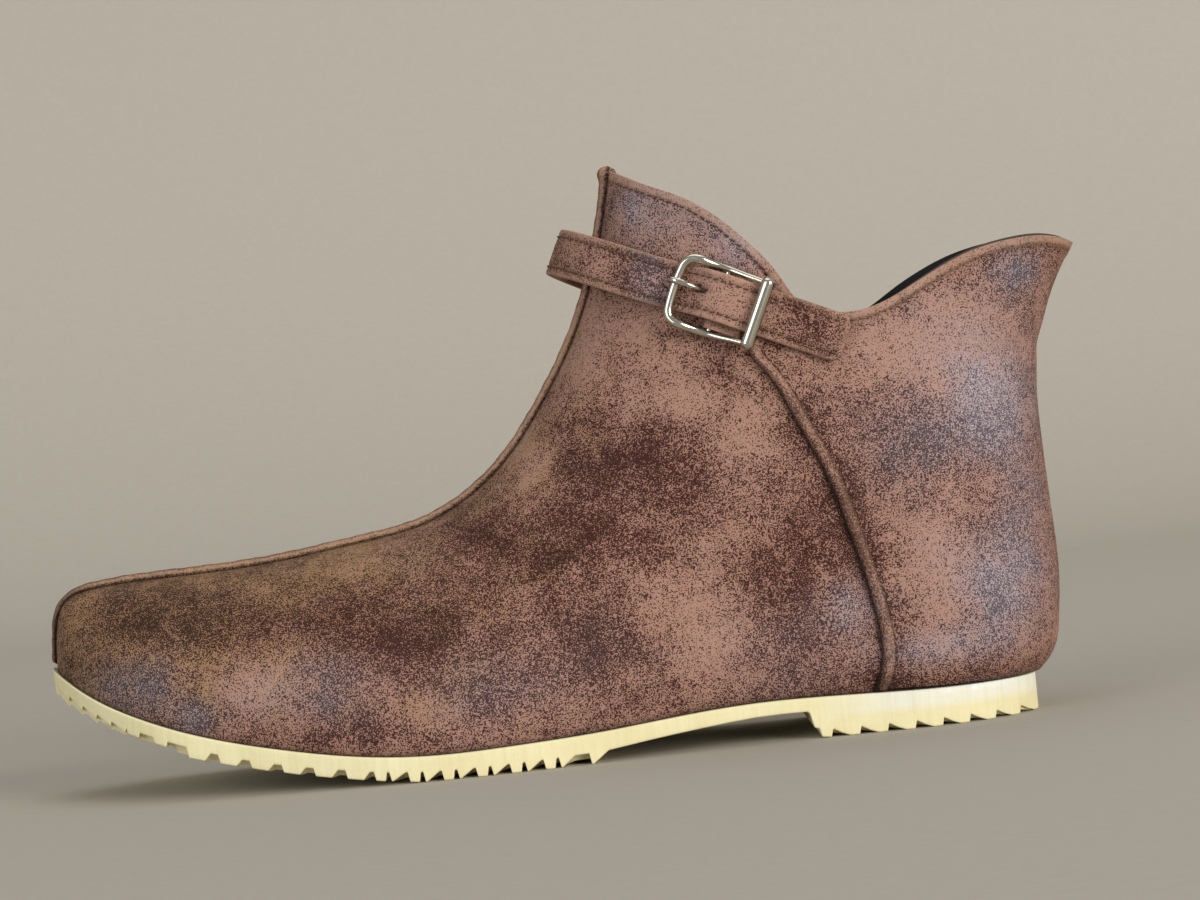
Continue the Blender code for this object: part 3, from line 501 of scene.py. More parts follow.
def add_piece(name, points, material, replaced=None, quads=None, middle=None, marks=None):
    """A smooth mesh object in metres with its doubles merged, riding on the boot. A grid of points becomes
    an open sheet, with its faces turned away from the given middle, or without one a closed ring, with its
    faces turned outwards. Marks are numbers for each point, which the materials read by name."""
    if quads is None:
        quads = grid_quads(*points.shape[:2], ring=middle is None)
    mesh = bpy.data.meshes.new(name)
    mesh.from_pydata((np.asarray(points).reshape(-1, 3) * MM).tolist(), [], np.asarray(quads).tolist())
    for label, column in (marks or {}).items():
        layer = mesh.attributes.new(label, "FLOAT", "POINT")
        layer.data.foreach_set("value", np.asarray(column, np.float32).ravel())
    cleaned = bmesh.new()
    cleaned.from_mesh(mesh)
    bmesh.ops.remove_doubles(cleaned, verts=cleaned.verts, dist=0.01 * MM)
    bmesh.ops.dissolve_degenerate(cleaned, edges=cleaned.edges, dist=0.005 * MM)
    bmesh.ops.recalc_face_normals(cleaned, faces=cleaned.faces)
    cleaned.to_mesh(mesh)
    cleaned.free()
    if middle is not None:
        centres = np.empty(3 * len(mesh.polygons))
        normals = np.empty(3 * len(mesh.polygons))
        mesh.polygons.foreach_get("center", centres)
        mesh.polygons.foreach_get("normal", normals)
        facing = (centres.reshape(-1, 3) - np.asarray(middle) * MM) * normals.reshape(-1, 3)
        if facing.sum() < 0:
            mesh.flip_normals()
    mesh.shade_smooth()
    mesh.materials.append(material)
    piece = linked(name, mesh)
    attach(piece, "root")
    if replaced:
        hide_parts(replaced)
    return piece


def thicken(piece, thick, way, rim_round):
    """Gives a sheet its thickness, inwards (-1) or outwards (1), and rounds its rim."""
    wall = piece.modifiers.new("wall", "SOLIDIFY")
    wall.thickness = thick * MM
    wall.offset = way
    wall.use_even_offset = True
    wall.material_offset = len(piece.data.materials) - 1
    rim = piece.modifiers.new("rounded_rim", "BEVEL")
    rim.limit_method = "ANGLE"
    rim.angle_limit = math.radians(55)
    rim.width = rim_round * MM
    rim.segments = 3


def on_boot(points):
    """Points of a grid as a list, with from_toe in place of x."""
    return np.asarray(points).reshape(-1, 3) + (FRAME_ORIGIN, 0, 0)


def clouds(spots):
    """How dark and how hazy the dyed leather is, the haziness partly a painted sheen: a sum of soft round
    clouds, moved along on the inner half.
    """
    inside = spots[:, 1] > seam_swing(spots[:, 0])
    seen = spots[:, [0, 2]] + np.where(inside[:, None], INNER_SHIFT, (0, 0))
    dark = np.zeros(len(spots))
    haze = np.zeros(len(spots))
    for from_toe, height, long, high, darker, hazier in zip(*CLOUDS.values()):
        soft = np.exp(-(((seen[:, 0] - from_toe) / long) ** 2) - ((seen[:, 1] - height) / high) ** 2)
        dark += darker * soft
        haze += hazier * soft
    return dark, haze


class Value:
    """A shader value. Sums with it add Math nodes."""

    def __init__(self, finish, socket):
        self.finish = finish
        self.socket = socket

    def worked(self, operation, first, second):
        return self.finish.node("Math", {"operation": operation}, {0: first, 1: second})

    def __add__(self, other):
        return self.worked("ADD", self, other)

    def __radd__(self, other):
        return self.worked("ADD", other, self)

    def __sub__(self, other):
        return self.worked("SUBTRACT", self, other)

    def __rsub__(self, other):
        return self.worked("SUBTRACT", other, self)

    def __mul__(self, other):
        return self.worked("MULTIPLY", self, other)

    def __rmul__(self, other):
        return self.worked("MULTIPLY", other, self)

    def held(self):
        """The value kept between 0 and 1."""
        return self.finish.node("Clamp", {}, {"Value": self})


class Finish:
    """A material: a Principled shader, and the nodes that colour and roughen it."""

    def __init__(self, name, constants):
        self.material = bpy.data.materials.new(name)
        self.material.use_nodes = True
        self.tree = self.material.node_tree
        self.shader = self.tree.nodes["Principled BSDF"]
        for socket, value in constants.items():
            self.shader.inputs[socket].default_value = value

    def node(self, kind, settings, sockets, output=0):
        """Adds a node, applies its settings, sets or links its sockets and gives one of its outputs."""
        made = self.tree.nodes.new("ShaderNode" + kind)
        for name, value in settings.items():
            setattr(made, name, value)
        for name, value in sockets.items():
            self.feed(made.inputs[name], value)
        return Value(self, made.outputs[output])

    def feed(self, socket, value):
        if isinstance(value, Value):
            self.tree.links.new(value.socket, socket)
        else:
            socket.default_value = value

    def set(self, **values):
        """Feeds the shader's own sockets, with underscores for the spaces in their names."""
        for name, value in values.items():
            self.feed(self.shader.inputs[name.replace("_", " ")], value)

    def spot(self):
        return self.node("TexCoord", {}, {}, "Object")

    def coordinate(self, axis):
        return self.node("SeparateXYZ", {}, {"Vector": self.spot()}, axis)

    def noise(self, scale, detail=3.0, roughness=0.55, where=None):
        sockets = {"Vector": where or self.spot(), "Scale": scale, "Detail": detail, "Roughness": roughness}
        return self.node("TexNoise", {}, sockets)

    def cells(self, scale):
        return self.node("TexVoronoi", {}, {"Vector": self.spot(), "Scale": scale})

    def marked(self, name):
        return self.node("Attribute", {"attribute_name": name}, {}, "Fac")

    def mix(self, share, first, second):
        """A colour between two."""
        sockets = {0: share, 6: first, 7: second}
        return self.node("Mix", {"data_type": "RGBA"}, sockets, 2)

    def bump(self, height, distance, strength=1.0):
        """Raises the surface by a height between 0 and 1, times a distance in metres."""
        sockets = {"Height": height, "Distance": distance, "Strength": strength}
        self.set(Normal=self.node("Bump", {}, sockets))


LEATHER = dict(
    rosy=(0.370, 0.212, 0.158, 1),
    olive=(0.310, 0.186, 0.100, 1),
    brown=(0.170, 0.053, 0.027, 1),
    # grey-violet colour of the hazy patches: partly the finish's tone, partly a painted sheen
    haze=(0.375, 0.332, 0.380, 1),
    maroon_speck=(0.030, 0.0055, 0.0040, 1),
    olive_speck=(0.021, 0.0080, 0.0040, 1),
    cold_speck=(0.026, 0.018, 0.027, 1),
    # painted glint: a pale colour standing in for tiny highlights
    glint=(0.62, 0.60, 0.64, 1),
    rubbed=(0.42, 0.265, 0.175, 1),
    # painted shade: a near-black laid into grooves, creases, the strap's hole and beside the seams and the
    # sole
    painted_shade=(0.014, 0.007, 0.0055, 1),
)


def clouded_leather():
    """Tan leather, rosy in places and olive in others, mostly on top of the vamp. Dark specks fine as sand
    crowd together in clouds. A hazy grey-violet tone, partly a painted sheen, with a few painted glints lies
    on some. Edges are rubbed pale, and painted shade lies beside the seams, along the stitches, at the sole
    and in the strap's hole. Pebbled grain raises the surface."""
    finish = Finish("clouded_leather", {"Specular IOR Level": 0.14})
    ahead, up = finish.coordinate("X"), finish.coordinate("Z")
    drift = finish.noise(42, 5, 0.6) - 0.5
    patch = finish.noise(120, 4, 0.65) - 0.5
    clump = finish.noise(520, 3, 0.6) - 0.5
    sand = finish.noise(2450, 1.5, 0.6) - 0.5
    crowd = ((finish.marked("dark") + drift * 1.8 + patch * 2.6) * 0.4 + 0.3).held()
    specks = ((sand + crowd * 0.23 + clump * 0.24) * 20 - 1.3).held()
    toeward = (finish.noise(75, 3, 0.6) * 2.4 - 1.5 + (0.03 - ahead) * up * 220).held()
    # hazy patches: partly the finish's grey-violet tone, partly a painted sheen that lightens the colour
    haze = (finish.marked("haze") * (1 + drift * 1.5 + patch * 2.0) + drift * 0.3).held()
    # painted glints: pale specks in the hazy patches standing in for tiny highlights
    painted_glints = ((finish.noise(2400, 1) - 0.66) * 25).held() * haze
    rub = (finish.marked("rub") * (finish.noise(760, 3, 0.7) * 2.4 - 0.2)).held()
    colour = finish.mix(toeward, LEATHER["rosy"], LEATHER["olive"])
    colour = finish.mix(0.02 + crowd * 0.5, colour, LEATHER["brown"])
    colour = finish.mix(haze * 0.7, colour, LEATHER["haze"])
    speck = finish.mix(toeward, LEATHER["maroon_speck"], LEATHER["olive_speck"])
    speck = finish.mix(haze, speck, LEATHER["cold_speck"])
    colour = finish.mix(specks * (0.95 - haze * 0.14), colour, speck)
    colour = finish.mix(painted_glints * 0.7, colour, LEATHER["glint"])
    colour = finish.mix(rub * 0.75, colour, LEATHER["rubbed"])
    # Painted shade: the marked shade and a crisp painted shadow line darken the colour towards near-black.
    # The line lies in the last millimetre or two beside the piping and ahead of the quarter.
    line = finish.marked("line") * SHADE_LINE_REACH - SHADE_LINE_REACH + 1
    colour = finish.mix((finish.marked("painted_shade") + line.held()).held() * 0.85, colour, LEATHER["painted_shade"])
    finish.set(Base_Color=colour)
    finish.set(Roughness=(0.62 - haze * 0.16 + specks * 0.1 - rub * 0.1).held())
    grain = finish.cells(820) * 0.6 + sand * 0.8 - specks * 0.25
    finish.bump(grain, 0.00022, 0.7)
    return finish.material


def lining_cloth():
    """Black cloth with a fine plain weave and a little lint."""
    finish = Finish("lining_cloth", {"Specular IOR Level": 0.2})
    lint = finish.noise(260, 4)
    thread = finish.noise(1500, 1)
    colour = finish.mix((lint * 0.6).held(), (0.006, 0.006, 0.007, 1), (0.028, 0.026, 0.026, 1))
    finish.set(Base_Color=colour)
    finish.set(Roughness=0.8 + lint * 0.15)
    finish.bump(thread, 0.0002, 0.5)
    return finish.material


leather = clouded_leather()
lining = lining_cloth()


def dented(grid, seen, normals, side):
    """Moves a grid along its normals: soft troughs, each a bell across and along its slant."""
    depth = np.zeros(seen.shape[:-1])
    for where, from_toe, height, long, wide, slant, deep in DENTS:
        if where in (side, "both"):
            turn = math.radians(slant)
            ahead, up = seen[..., 0] - from_toe, seen[..., 1] - height
            run = ahead * math.cos(turn) + up * math.sin(turn)
            across = up * math.cos(turn) - ahead * math.sin(turn)
            depth += deep * np.exp(-((run / long) ** 2) - (across / wide) ** 2)
    return grid - normals * depth[..., None]


def upper_sheet():
    """Outside of the upper: rungs on both halves, joined at the seam, dented and raised along the hem."""
    halves = []
    for side, sign in (("inner", -1), ("outer", 1)):
        seen = upper_rungs(side)
        below = distance_to(collar_line(240, side), seen)
        ahead_of_notch = 1 - smoothstep(*HEM_ENDS, seen[..., 0])
        hem = HEM_PROUD * (1 - smoothstep(HEM_WIDE, HEM_WIDE + 2.0, below)) * ahead_of_notch
        half = place(seen[..., 0], seen[..., 1], side)
        half[:, 0, 1] = seam_swing(seen[:, 0, 0])
        normals = sign * grid_normals(half)
        off_seam = smoothstep(0, SEAM_CALM, np.linalg.norm(half - half[:, :1], axis=-1))[..., None]
        moved = dented(half, seen, normals, side) + normals * hem[..., None]
        halves.append(blend(half, moved, off_seam * smoothstep(*NOSE_CALM, seen[..., :1])))
    return np.concatenate([halves[0][:, ::-1], halves[1][:, 1:]], axis=1)


def below_collar(spots):
    """Distance of points on the boot from the collar of their own side, seen from the side."""
    inner, outer = (distance_to(collar_line(200, side), spots[:, [0, 2]]) for side in ("inner", "outer"))
    return np.where(spots[:, 1] > seam_swing(spots[:, 0]), inner, outer)


def upper_marks(spots):
    """Clouds of the hide, with a painted shadow line beside the piping and the quarter,
    painted shade at the sole and along the collar's stitches, and a rubbed collar. The line is 1 at
    the seam and falls evenly to 0, more slowly ahead of the quarter."""
    dark, haze = clouds(spots)
    seam = np.stack([FRONT[:, 0], seam_swing(FRONT[:, 0]), FRONT[:, 1]], -1)
    from_piping = distance_to(resample(seam, np.linspace(0, along(seam)[-1], 260)), spots) - 2.1
    from_collar = below_collar(spots)
    levels = np.linspace(*QUARTER_EDGE["height"][[0, -1]], 120)
    quarter_line = side_line(QUARTER_EDGE, levels)
    ahead = np.interp(spots[:, 2], quarter_line[:, 1], quarter_line[:, 0]) - spots[:, 0]
    from_quarter = np.sign(ahead) * distance_to(quarter_line, spots[:, [0, 2]])
    # painted shadow line: 1 at the piping and at the quarter's step, falling to 0
    line = np.clip(1 - np.minimum(from_piping, from_quarter * SHADE_LINE_SLOWER) / SHADE_LINE_REACH, 0, None)
    above_sole = np.maximum(spots[:, 2] - feather_height(spots[:, 0]), 0)
    # painted shade at the upper's lower edge by the sole and in the collar's stitch row
    painted_shade = 0.7 * np.exp(-above_sole / 1.1) + 0.4 * bell(from_collar - COLLAR_ROW, 0.6)
    hem = 1 - smoothstep(*COLLAR_RUBBED, from_collar)
    below_strap = 1 - smoothstep(*BAND_ENDS, spots[:, 2])
    dark += 0.5 * below_strap * bell(from_quarter, 5) - 0.5 * hem
    return dict(dark=dark, haze=haze, painted_shade=painted_shade, line=line, rub=0.45 * hem)


sheet = upper_sheet()
marks = upper_marks(on_boot(sheet))
upper = add_piece("upper_leather", sheet, leather, "upper", middle=BOOT_MIDDLE, marks=marks)
upper.data.materials.append(lining)
thicken(upper, WALL, -1, 0.7)


# Back quarter. One panel of the same leather wrapped round the heel over the upper and sewn down. Its front
# edges are turned over a cord, which makes a round ridge with a row of stitches behind it.
GAP = 0.3
QUARTER_THICK = 1.2
QUARTER_LIFT = 1.2
QUARTER_ROWS, RIDGE_COLUMNS, PANEL_COLUMNS = 120, 20, 56
RIDGE_WIDE, RIDGE_PROUD, RIDGE_GROOVE = 1.9, 1.1, 0.35
RIDGE_REACH = 5.5  # how far behind the edge the columns stand close
QUARTER_HEM = 0.3


def quarter_sheet():
    """Rows from the front edge of one side round the heel to the other. Columns stand close over the ridge,
    which is half a sine wave high, then a narrow groove, then the plain panel with its turned collar."""
    levels = np.linspace(0, 1, QUARTER_ROWS)
    lowest = float(feather_height(QUARTER_EDGE["from_toe"][0])) + QUARTER_LIFT
    edge_height = blend(lowest, QUARTER_EDGE["height"][-1], levels)
    edge = side_line(QUARTER_EDGE, edge_height)
    back_height = blend(float(feather_height(HEEL_CORNER)) + QUARTER_LIFT, REAR_TIP, levels)
    back = side_line(BACK_LINE, back_height)
    long = (back - edge)[:, :1]
    near = np.linspace(0, RIDGE_REACH, RIDGE_COLUMNS) / long
    rest = np.sin(np.linspace(0, 1, PANEL_COLUMNS + 1)[1:] * math.pi / 2)
    share = np.concatenate([near, near[:, -1:] + (1 - near[:, -1:]) * rest], axis=1)
    seen = blend(edge[:, None], back[:, None], share[..., None])
    sole_drop = feather_height(seen[0, :, 0]) + QUARTER_LIFT - seen[0, :, 1]
    behind = share * long
    ridge = RIDGE_PROUD * np.sin(np.clip(behind / RIDGE_WIDE, 0, 1) * math.pi) ** 0.8
    groove = RIDGE_GROOVE * bell(behind - RIDGE_WIDE - 0.4, 0.55)
    halves = []
    for side, sign in (("outer", 1), ("inner", -1)):
        top_drop = collar_height(seen[-1, :, 0], side) - blend(edge[-1, 1], back[-1, 1], share[-1])
        drop = levels[:, None] ** 3 * top_drop + (1 - levels[:, None]) ** 4 * sole_drop
        moved = np.stack([seen[..., 0], seen[..., 1] + drop], -1)
        below = distance_to(collar_line(240, side), moved)
        hem = QUARTER_HEM * (1 - smoothstep(HEM_WIDE - 1, HEM_WIDE + 1, below))
        fade = smoothstep(0, 4, moved[..., 1] - feather_height(moved[..., 0])) * smoothstep(0, 6, below)
        half = place(moved[..., 0], moved[..., 1], side)
        normals = sign * grid_normals(half)
        normals[:, -1] = unit(normals[:, -1] * (1, 0, 1))
        raised = (GAP + (ridge - groove) * fade + hem)[..., None]
        halves.append(dented(half, moved, normals, side) + normals * raised)
    whole = np.concatenate([halves[0], halves[1][:, -2::-1]], axis=1)
    return whole, np.concatenate([behind, behind[:, -2::-1]], axis=1)


def quarter_marks(spots, behind):
    """Clouds of the hide, with painted shade in the groove, under the ridge's front edge, at the sole and
    along the collar's stitches, and a rubbed ridge and collar."""
    dark, haze = clouds(spots)
    from_collar = below_collar(spots)
    above_sole = np.maximum(spots[:, 2] - feather_height(spots[:, 0]) - QUARTER_LIFT, 0)
    # painted shade: a dark line in the groove behind the ridge, a darker one at its front step, at the sole
    # and in the collar's stitch row
    painted_shade = 0.8 * bell(behind - RIDGE_WIDE - 0.5, 0.5) + 1.2 * bell(behind, 0.5)
    painted_shade += 0.5 * np.exp(-above_sole / 1.0) + 0.5 * bell(from_collar - COLLAR_ROW, 0.6)
    hem = 1 - smoothstep(*COLLAR_RUBBED, from_collar)
    at_tip = smoothstep(280, 292, spots[:, 0])
    rub = 0.25 * bell(behind - 1.1, 0.5) + (0.35 + 0.4 * at_tip) * hem
    below_strap = 1 - smoothstep(*BAND_ENDS, spots[:, 2])
    dark += 0.7 * below_strap * bell(behind - 3, 3) - 0.5 * hem
    return dict(dark=dark, haze=haze, painted_shade=painted_shade, rub=rub)


sheet, behind = quarter_sheet()
quarter = add_piece(
    "back_quarter_leather",
    sheet,
    leather,
    "back_quarter",
    middle=BOOT_MIDDLE,
    marks=quarter_marks(on_boot(sheet), behind.ravel()),
)
thicken(quarter, QUARTER_THICK, 1, 0.5)


# Front piping. A strip of the same leather folded over a cord and caught in the centre seam, so that it
# stands up as a round ridge from the sole to the peak, where its end is folded into a knob.
PIPING_WIDE, PIPING_PROUD, PIPING_SEAT, PIPING_SUNK = 4.2, 1.8, 0.45, 1.6
PIPING_START, PIPING_PAST = 1.2, 2.0
PIPING_LOW = dict(share=0.6, long=45.0)  # how high it starts at the toe, and where it is full
PIPING_CLOSES = (1.6, 3.0)  # lengths over which its ends close
PIPING_WAVER = 0.12
KNOB = dict(long=6.0, full=2.5, proud=1.6, wide=1.4, sunk=1.9)  # its size against the rest of the piping
PIPING_STATIONS, PIPING_SIDES, PIPING_SMOOTH = 320, 32, 4


def piping_ring():
    """A flattened round carried along the seam: its top half rises by the piping's height and its lower half
    sinks to its seat. It swells to a knob at the peak, and both ends close to a point. Also gives how far
    up the round each point lies."""
    ahead = FRONT[-1] - FRONT[-2]
    past = FRONT[-1] + ahead / np.linalg.norm(ahead) * PIPING_PAST
    stations = np.linspace(PIPING_START, FRONT_LONG + PIPING_PAST, PIPING_STATIONS)
    line = resample(np.vstack([FRONT, past]), stations)
    window = 2 * PIPING_SMOOTH + 1
    averages = [np.convolve(column, np.ones(window) / window, "valid") for column in line.T]
    line[PIPING_SMOOTH:-PIPING_SMOOTH] = np.stack(averages, -1)
    outward = -to_right(unit(np.gradient(line, axis=0)))
    distance = along(line)
    knob = smoothstep(distance[-1] - KNOB["long"], distance[-1] - KNOB["full"], distance)
    start = blend(PIPING_LOW["share"], 1.0, smoothstep(0, PIPING_LOW["long"], distance))
    proud = start * PIPING_PROUD * blend(1, KNOB["proud"], knob)
    half = PIPING_WIDE / 2 * blend(1, KNOB["wide"], knob)
    to_end = np.minimum(distance / PIPING_CLOSES[0], (distance[-1] - distance) / PIPING_CLOSES[1])
    closing = np.sqrt(np.clip(1 - (1 - np.clip(to_end, 0, 1)) ** 2, 0, 1))
    turn = circle(PIPING_SIDES)
    rise = np.sin(turn)
    sunk = PIPING_SUNK * blend(1, KNOB["sunk"], knob)
    lift = np.where(rise > 0, proud[:, None] * rise, sunk[:, None] * rise)
    waver = PIPING_WAVER * np.sin(distance * 0.9) * np.sin(distance * 0.37 + 1)
    raised = PIPING_SEAT + lift * closing[:, None] + waver[:, None] * (rise > 0.3)
    across = half[:, None] * closing[:, None] * np.cos(turn)
    ahead = line[:, :1] + outward[:, :1] * raised - FRAME_ORIGIN
    height = line[:, 1:] + outward[:, 1:] * raised
    points = np.stack([ahead, seam_swing(line[:, 0])[:, None] + across, height], -1)
    return points, np.broadcast_to(rise, across.shape)


def piping_marks(spots, rise):
    """Clouds of the hide, worn flanks, a speckled crest, and painted shade where the piping meets the upper
    and towards its end at the nose.
    """
    dark, haze = clouds(spots)
    # painted shade where the piping's round meets the upper, and darker towards its end at the nose
    painted_shade = 1.1 * bell(rise + 0.12, 0.18) + 0.6 * (1 - smoothstep(4, 14, spots[:, 0]))
    crest = smoothstep(0.6, 1.0, rise)
    rub = 0.7 * smoothstep(0.1, 0.5, rise) - 0.5 * crest
    return dict(dark=dark + 0.6 * crest, haze=haze, painted_shade=painted_shade, rub=rub)


ring, rise = piping_ring()
marks = piping_marks(on_boot(ring), rise.ravel())
add_piece("front_piping_leather", ring, leather, "front_piping", marks=marks)


# Strap. A narrow belt of the same leather, its edges stitched all round. It is sewn down on the inner side,
# runs loose round the front of the ankle and through the buckle, and its squared end lies free behind it. At
# the buckle s runs along the strap, t across it and n out from the leather.
STRAP_WIDE, STRAP_THICK = 13.5, 1.8
STRAP_FRONT = (155.6, 141.6)
STRAP_SLOPE = math.radians(24.5)
STRAP_END = 231.0
STRAP_LOOP = dict(long=76.0, wide=33.0)
STRAP_SETTLES = (178, 194)
STRAP_CLEAR = 0.45
STRAP_T = 1.0
STRAP_STITCH = 2.3
STRAP_CORNER = 2.6
INNER_QUARTER = (198, 210)
BUCKLE_AT = 198.3
HOLE_S, PRONG_T = -6.0, 1.6
STRAP_HOLE = dict(long=5.2, wide=2.4, deep=1.3, edge=(0.45, 0.62))
STRAP_GROOVE, STRAP_CROWN = 0.25, 0.12
STRAP_CLOUDS = ((-40, 8, -0.3), (-20, 8, 0.9), (2, 9, -1.6), (24, 8, 0.8))  # where, how long, how dark
STRAP_RISE = table(
    "s n",
    (-60, 0.45),
    (-20, 0.45),
    (-13, 0.6),
    (-9, 1.5),
    (-4, 3.9),
    (0, 4.7),
    (4, 4.1),
    (9, 2.9),
    (14, 2.5),
    (22, 2.2),
    (60, 2.1),
)


def strap_height(from_toe):
    """Height of the strap's centre line at a place along the boot."""
    return STRAP_FRONT[1] - (np.asarray(from_toe) - STRAP_FRONT[0]) * math.tan(STRAP_SLOPE)


def strap_bed(from_toe, offset, side):
    """Line under the strap at an offset across it: on the leather, or on the free loop round the front."""
    spot = from_toe + math.sin(STRAP_SLOPE) * offset
    height = strap_height(from_toe) + math.cos(STRAP_SLOPE) * offset
    sign = -1 if side == "outer" else 1
    back = np.clip((STRAP_FRONT[0] + STRAP_LOOP["long"] - from_toe) / STRAP_LOOP["long"], 0, 1)
    loop = STRAP_LOOP["wide"] * np.sqrt(1 - back**2)
    on_leather = sign * (place(spot, height, side)[:, 1] - FRAME_SIDE)
    reach = blend(np.maximum(loop, on_leather), on_leather, smoothstep(*STRAP_SETTLES, from_toe))
    return np.stack([spot - FRAME_ORIGIN, FRAME_SIDE + sign * reach, height], -1)


def strap_ribbon(wide, side_runs):
    """Lower and upper edges of the strap's bed from its inner end to its outer one, with outward normals."""
    edges = []
    for sign in (-1, 1):
        runs = [strap_bed(run, lift + sign * wide / 2, side) for side, run, lift in side_runs]
        edges.append(np.concatenate(runs))
    lower, upper_edge = edges
    run = np.gradient((lower + upper_edge) / 2, axis=0)
    return lower, upper_edge, unit(np.cross(run, upper_edge - lower))


def strap_runs():
    """Stations along the strap, close together at the front bend, with the strap's edges and its rise."""
    pace = np.linspace(0, 1, 130)
    run = STRAP_FRONT[0] + (STRAP_END - STRAP_FRONT[0]) * pace**1.5
    lift = STRAP_T * smoothstep(*STRAP_SETTLES, run[1:])
    sides = [("inner", run[::-1], np.zeros(len(run))), ("outer", run[1:], lift)]
    lower, upper_edge, out = strap_ribbon(STRAP_WIDE, sides)
    over_quarter = GAP + QUARTER_THICK + 2 * GAP
    inner_rise = blend(STRAP_CLEAR, over_quarter, smoothstep(*INNER_QUARTER, run[::-1]))
    outer_rise = read(STRAP_RISE, "s", "n", (run[1:] - BUCKLE_AT) / math.cos(STRAP_SLOPE))
    return lower, upper_edge, out, np.concatenate([inner_rise, outer_rise])


def belt_ring(middle, sideways, out, half, thick, corner=0.5, top=17):
    """A flat section with rounded corners carried along a line, with the distances across it and from the
    nearer edge, and which of its points lie on its face."""
    corner = min(corner, thick / 2)
    flat = np.linspace(-1, 1, top)
    turn = np.linspace(0, math.pi / 2, 4)
    leaving, joining = turn[1:], turn[:-1]
    edge = np.ones(6)
    share = np.concatenate([flat, edge, flat[::-2], -edge])
    side = np.concatenate([0 * flat, np.sin(leaving), np.cos(joining)])
    under = np.concatenate([0 * flat[::2], -np.sin(leaving), -np.cos(joining)])
    rise = np.concatenate([1 + 0 * flat, np.cos(leaving), -np.sin(joining)])
    fall = np.concatenate([-1 + 0 * flat[::2], -np.cos(leaving), np.sin(joining)])
    face = np.concatenate([1 + 0 * flat, edge[:3], -edge[3:], -1 + 0 * flat[::2], -edge[:3], edge[3:]])
    offset = (half - corner)[:, None] * share + corner * np.concatenate([side, under])
    level = (thick / 2 - corner) * face + corner * np.concatenate([rise, fall])
    points = middle[:, None] + sideways[:, None] * offset[..., None] + out[:, None] * level[:, None]
    on_face = np.broadcast_to(level > 0.99 * thick / 2, offset.shape)
    return points, offset, half[:, None] - np.abs(offset), on_face


def closed_ends(ring):
    """Adds a row at each end of a ring in which the section has shrunk to its middle."""
    first, last = (np.broadcast_to(row.mean(0), row.shape)[None] for row in (ring[0], ring[-1]))
    return np.concatenate([first, ring, last])


def strap_shape():
    """The belt along the strap's run. Its ends are drawn in to rounded corners, its face is a bit crowned, a
    groove follows the stitches, and the hole for the prong is a dent pressed into its face."""
    lower, upper_edge, out, rise = strap_runs()
    middle = (lower + upper_edge) / 2 + out * (rise + STRAP_THICK / 2)[:, None]
    distance = along(middle)
    to_end = np.minimum(distance, distance[-1] - distance)
    inside = np.clip(STRAP_CORNER - to_end, 0, None)
    half = STRAP_WIDE / 2 - STRAP_CORNER + np.sqrt(STRAP_CORNER**2 - inside**2)
    points, offset, edge, on_face = belt_ring(middle, unit(upper_edge - lower), out, half, STRAP_THICK)
    from_edge = np.minimum(edge, to_end[:, None])
    groove = STRAP_GROOVE * bell(from_edge - STRAP_STITCH, 0.6)
    crown = STRAP_CROWN * (1 - (offset / (STRAP_WIDE / 2)) ** 2)
    along_buckle = (points[..., 0] + FRAME_ORIGIN - BUCKLE_AT) / math.cos(STRAP_SLOPE)
    near = np.abs(along_buckle - HOLE_S) / STRAP_HOLE["long"]
    near = near + np.abs(offset - PRONG_T + STRAP_T) / STRAP_HOLE["wide"]
    hole = (1 - smoothstep(*STRAP_HOLE["edge"], near)) * (points[..., 1] < 0)
    raised = np.where(on_face, crown - groove - STRAP_HOLE["deep"] * hole, 0)
    return points + out[:, None] * raised[..., None], from_edge, hole


def strap_marks(spots, from_edge, hole):
    """Clouds along the strap: pale at the front bend, dark before the buckle, pale inside it and dark behind
    it. Its edges are rubbed, and painted shade lies along the stitches and in the pressed hole."""
    dark, haze = clouds(spots + (0, 0, -7))
    from_bar = (spots[:, 0] - BUCKLE_AT) / math.cos(STRAP_SLOPE)
    outer = spots[:, 1] < FRAME_SIDE
    bands = [deep * bell(from_bar - at, long) for at, long, deep in STRAP_CLOUDS]
    dark = np.where(outer, 0.25 * dark + sum(bands), dark)
    haze = np.where(outer, 0.5 * bell(from_bar + 20, 6), haze)
    # painted shade in the stitch grooves and in the pressed hole for the prong
    painted_shade = 0.3 * bell(from_edge - STRAP_STITCH, 0.7) + 1.2 * hole
    return dict(dark=dark, haze=haze, painted_shade=painted_shade, rub=0.6 * bell(from_edge, 0.8))


ring, from_edge, hole = (closed_ends(part) for part in strap_shape())
marks = strap_marks(on_boot(ring), from_edge.ravel(), hole.ravel())
add_piece("strap_leather", ring, leather, "strap", marks=marks)


# Buckle. A cast nickel frame with a thick keeper bar across its back, a thin bar between its arms that the
# tongue is hooked on, and a short tab of leather folded round that bar and sewn to the upper.
BAR_S = dict(tongue_rest=-12.4, keeper=12.2)
FRAME_HALF = dict(tongue_rest=9.4, keeper=8.8)
WIRE = dict(tongue_rest=1.35, arm=1.2, arm_end=0.8, middle=0.8, keeper=1.9)
CORNER, KEEPER_PAST = 3.8, 1.0
PRONG_WIRE, PRONG_HOOK = 0.6, (-0.2, 2.6)
PRONG = table(
    "s rise radius",
    (-3.4, 0, 0.6),
    (-8.6, 0.9, 0.75),
    (-10.8, 1, 0.9),
    (-12.4, 1, 0.98),
    (-13.6, 0.9, 0.85),
)
ARM = table("s t rise radius", (6, 9.1, 0.42, 0.9), (0, 9.4, 0.05, 1.05))
TAB_ACROSS = (-8.0, 7.4)
TAB_THICK, TAB_END, TAB_BEND, TAB_SLACK = 0.9, 8.6, 4.6, 0.15

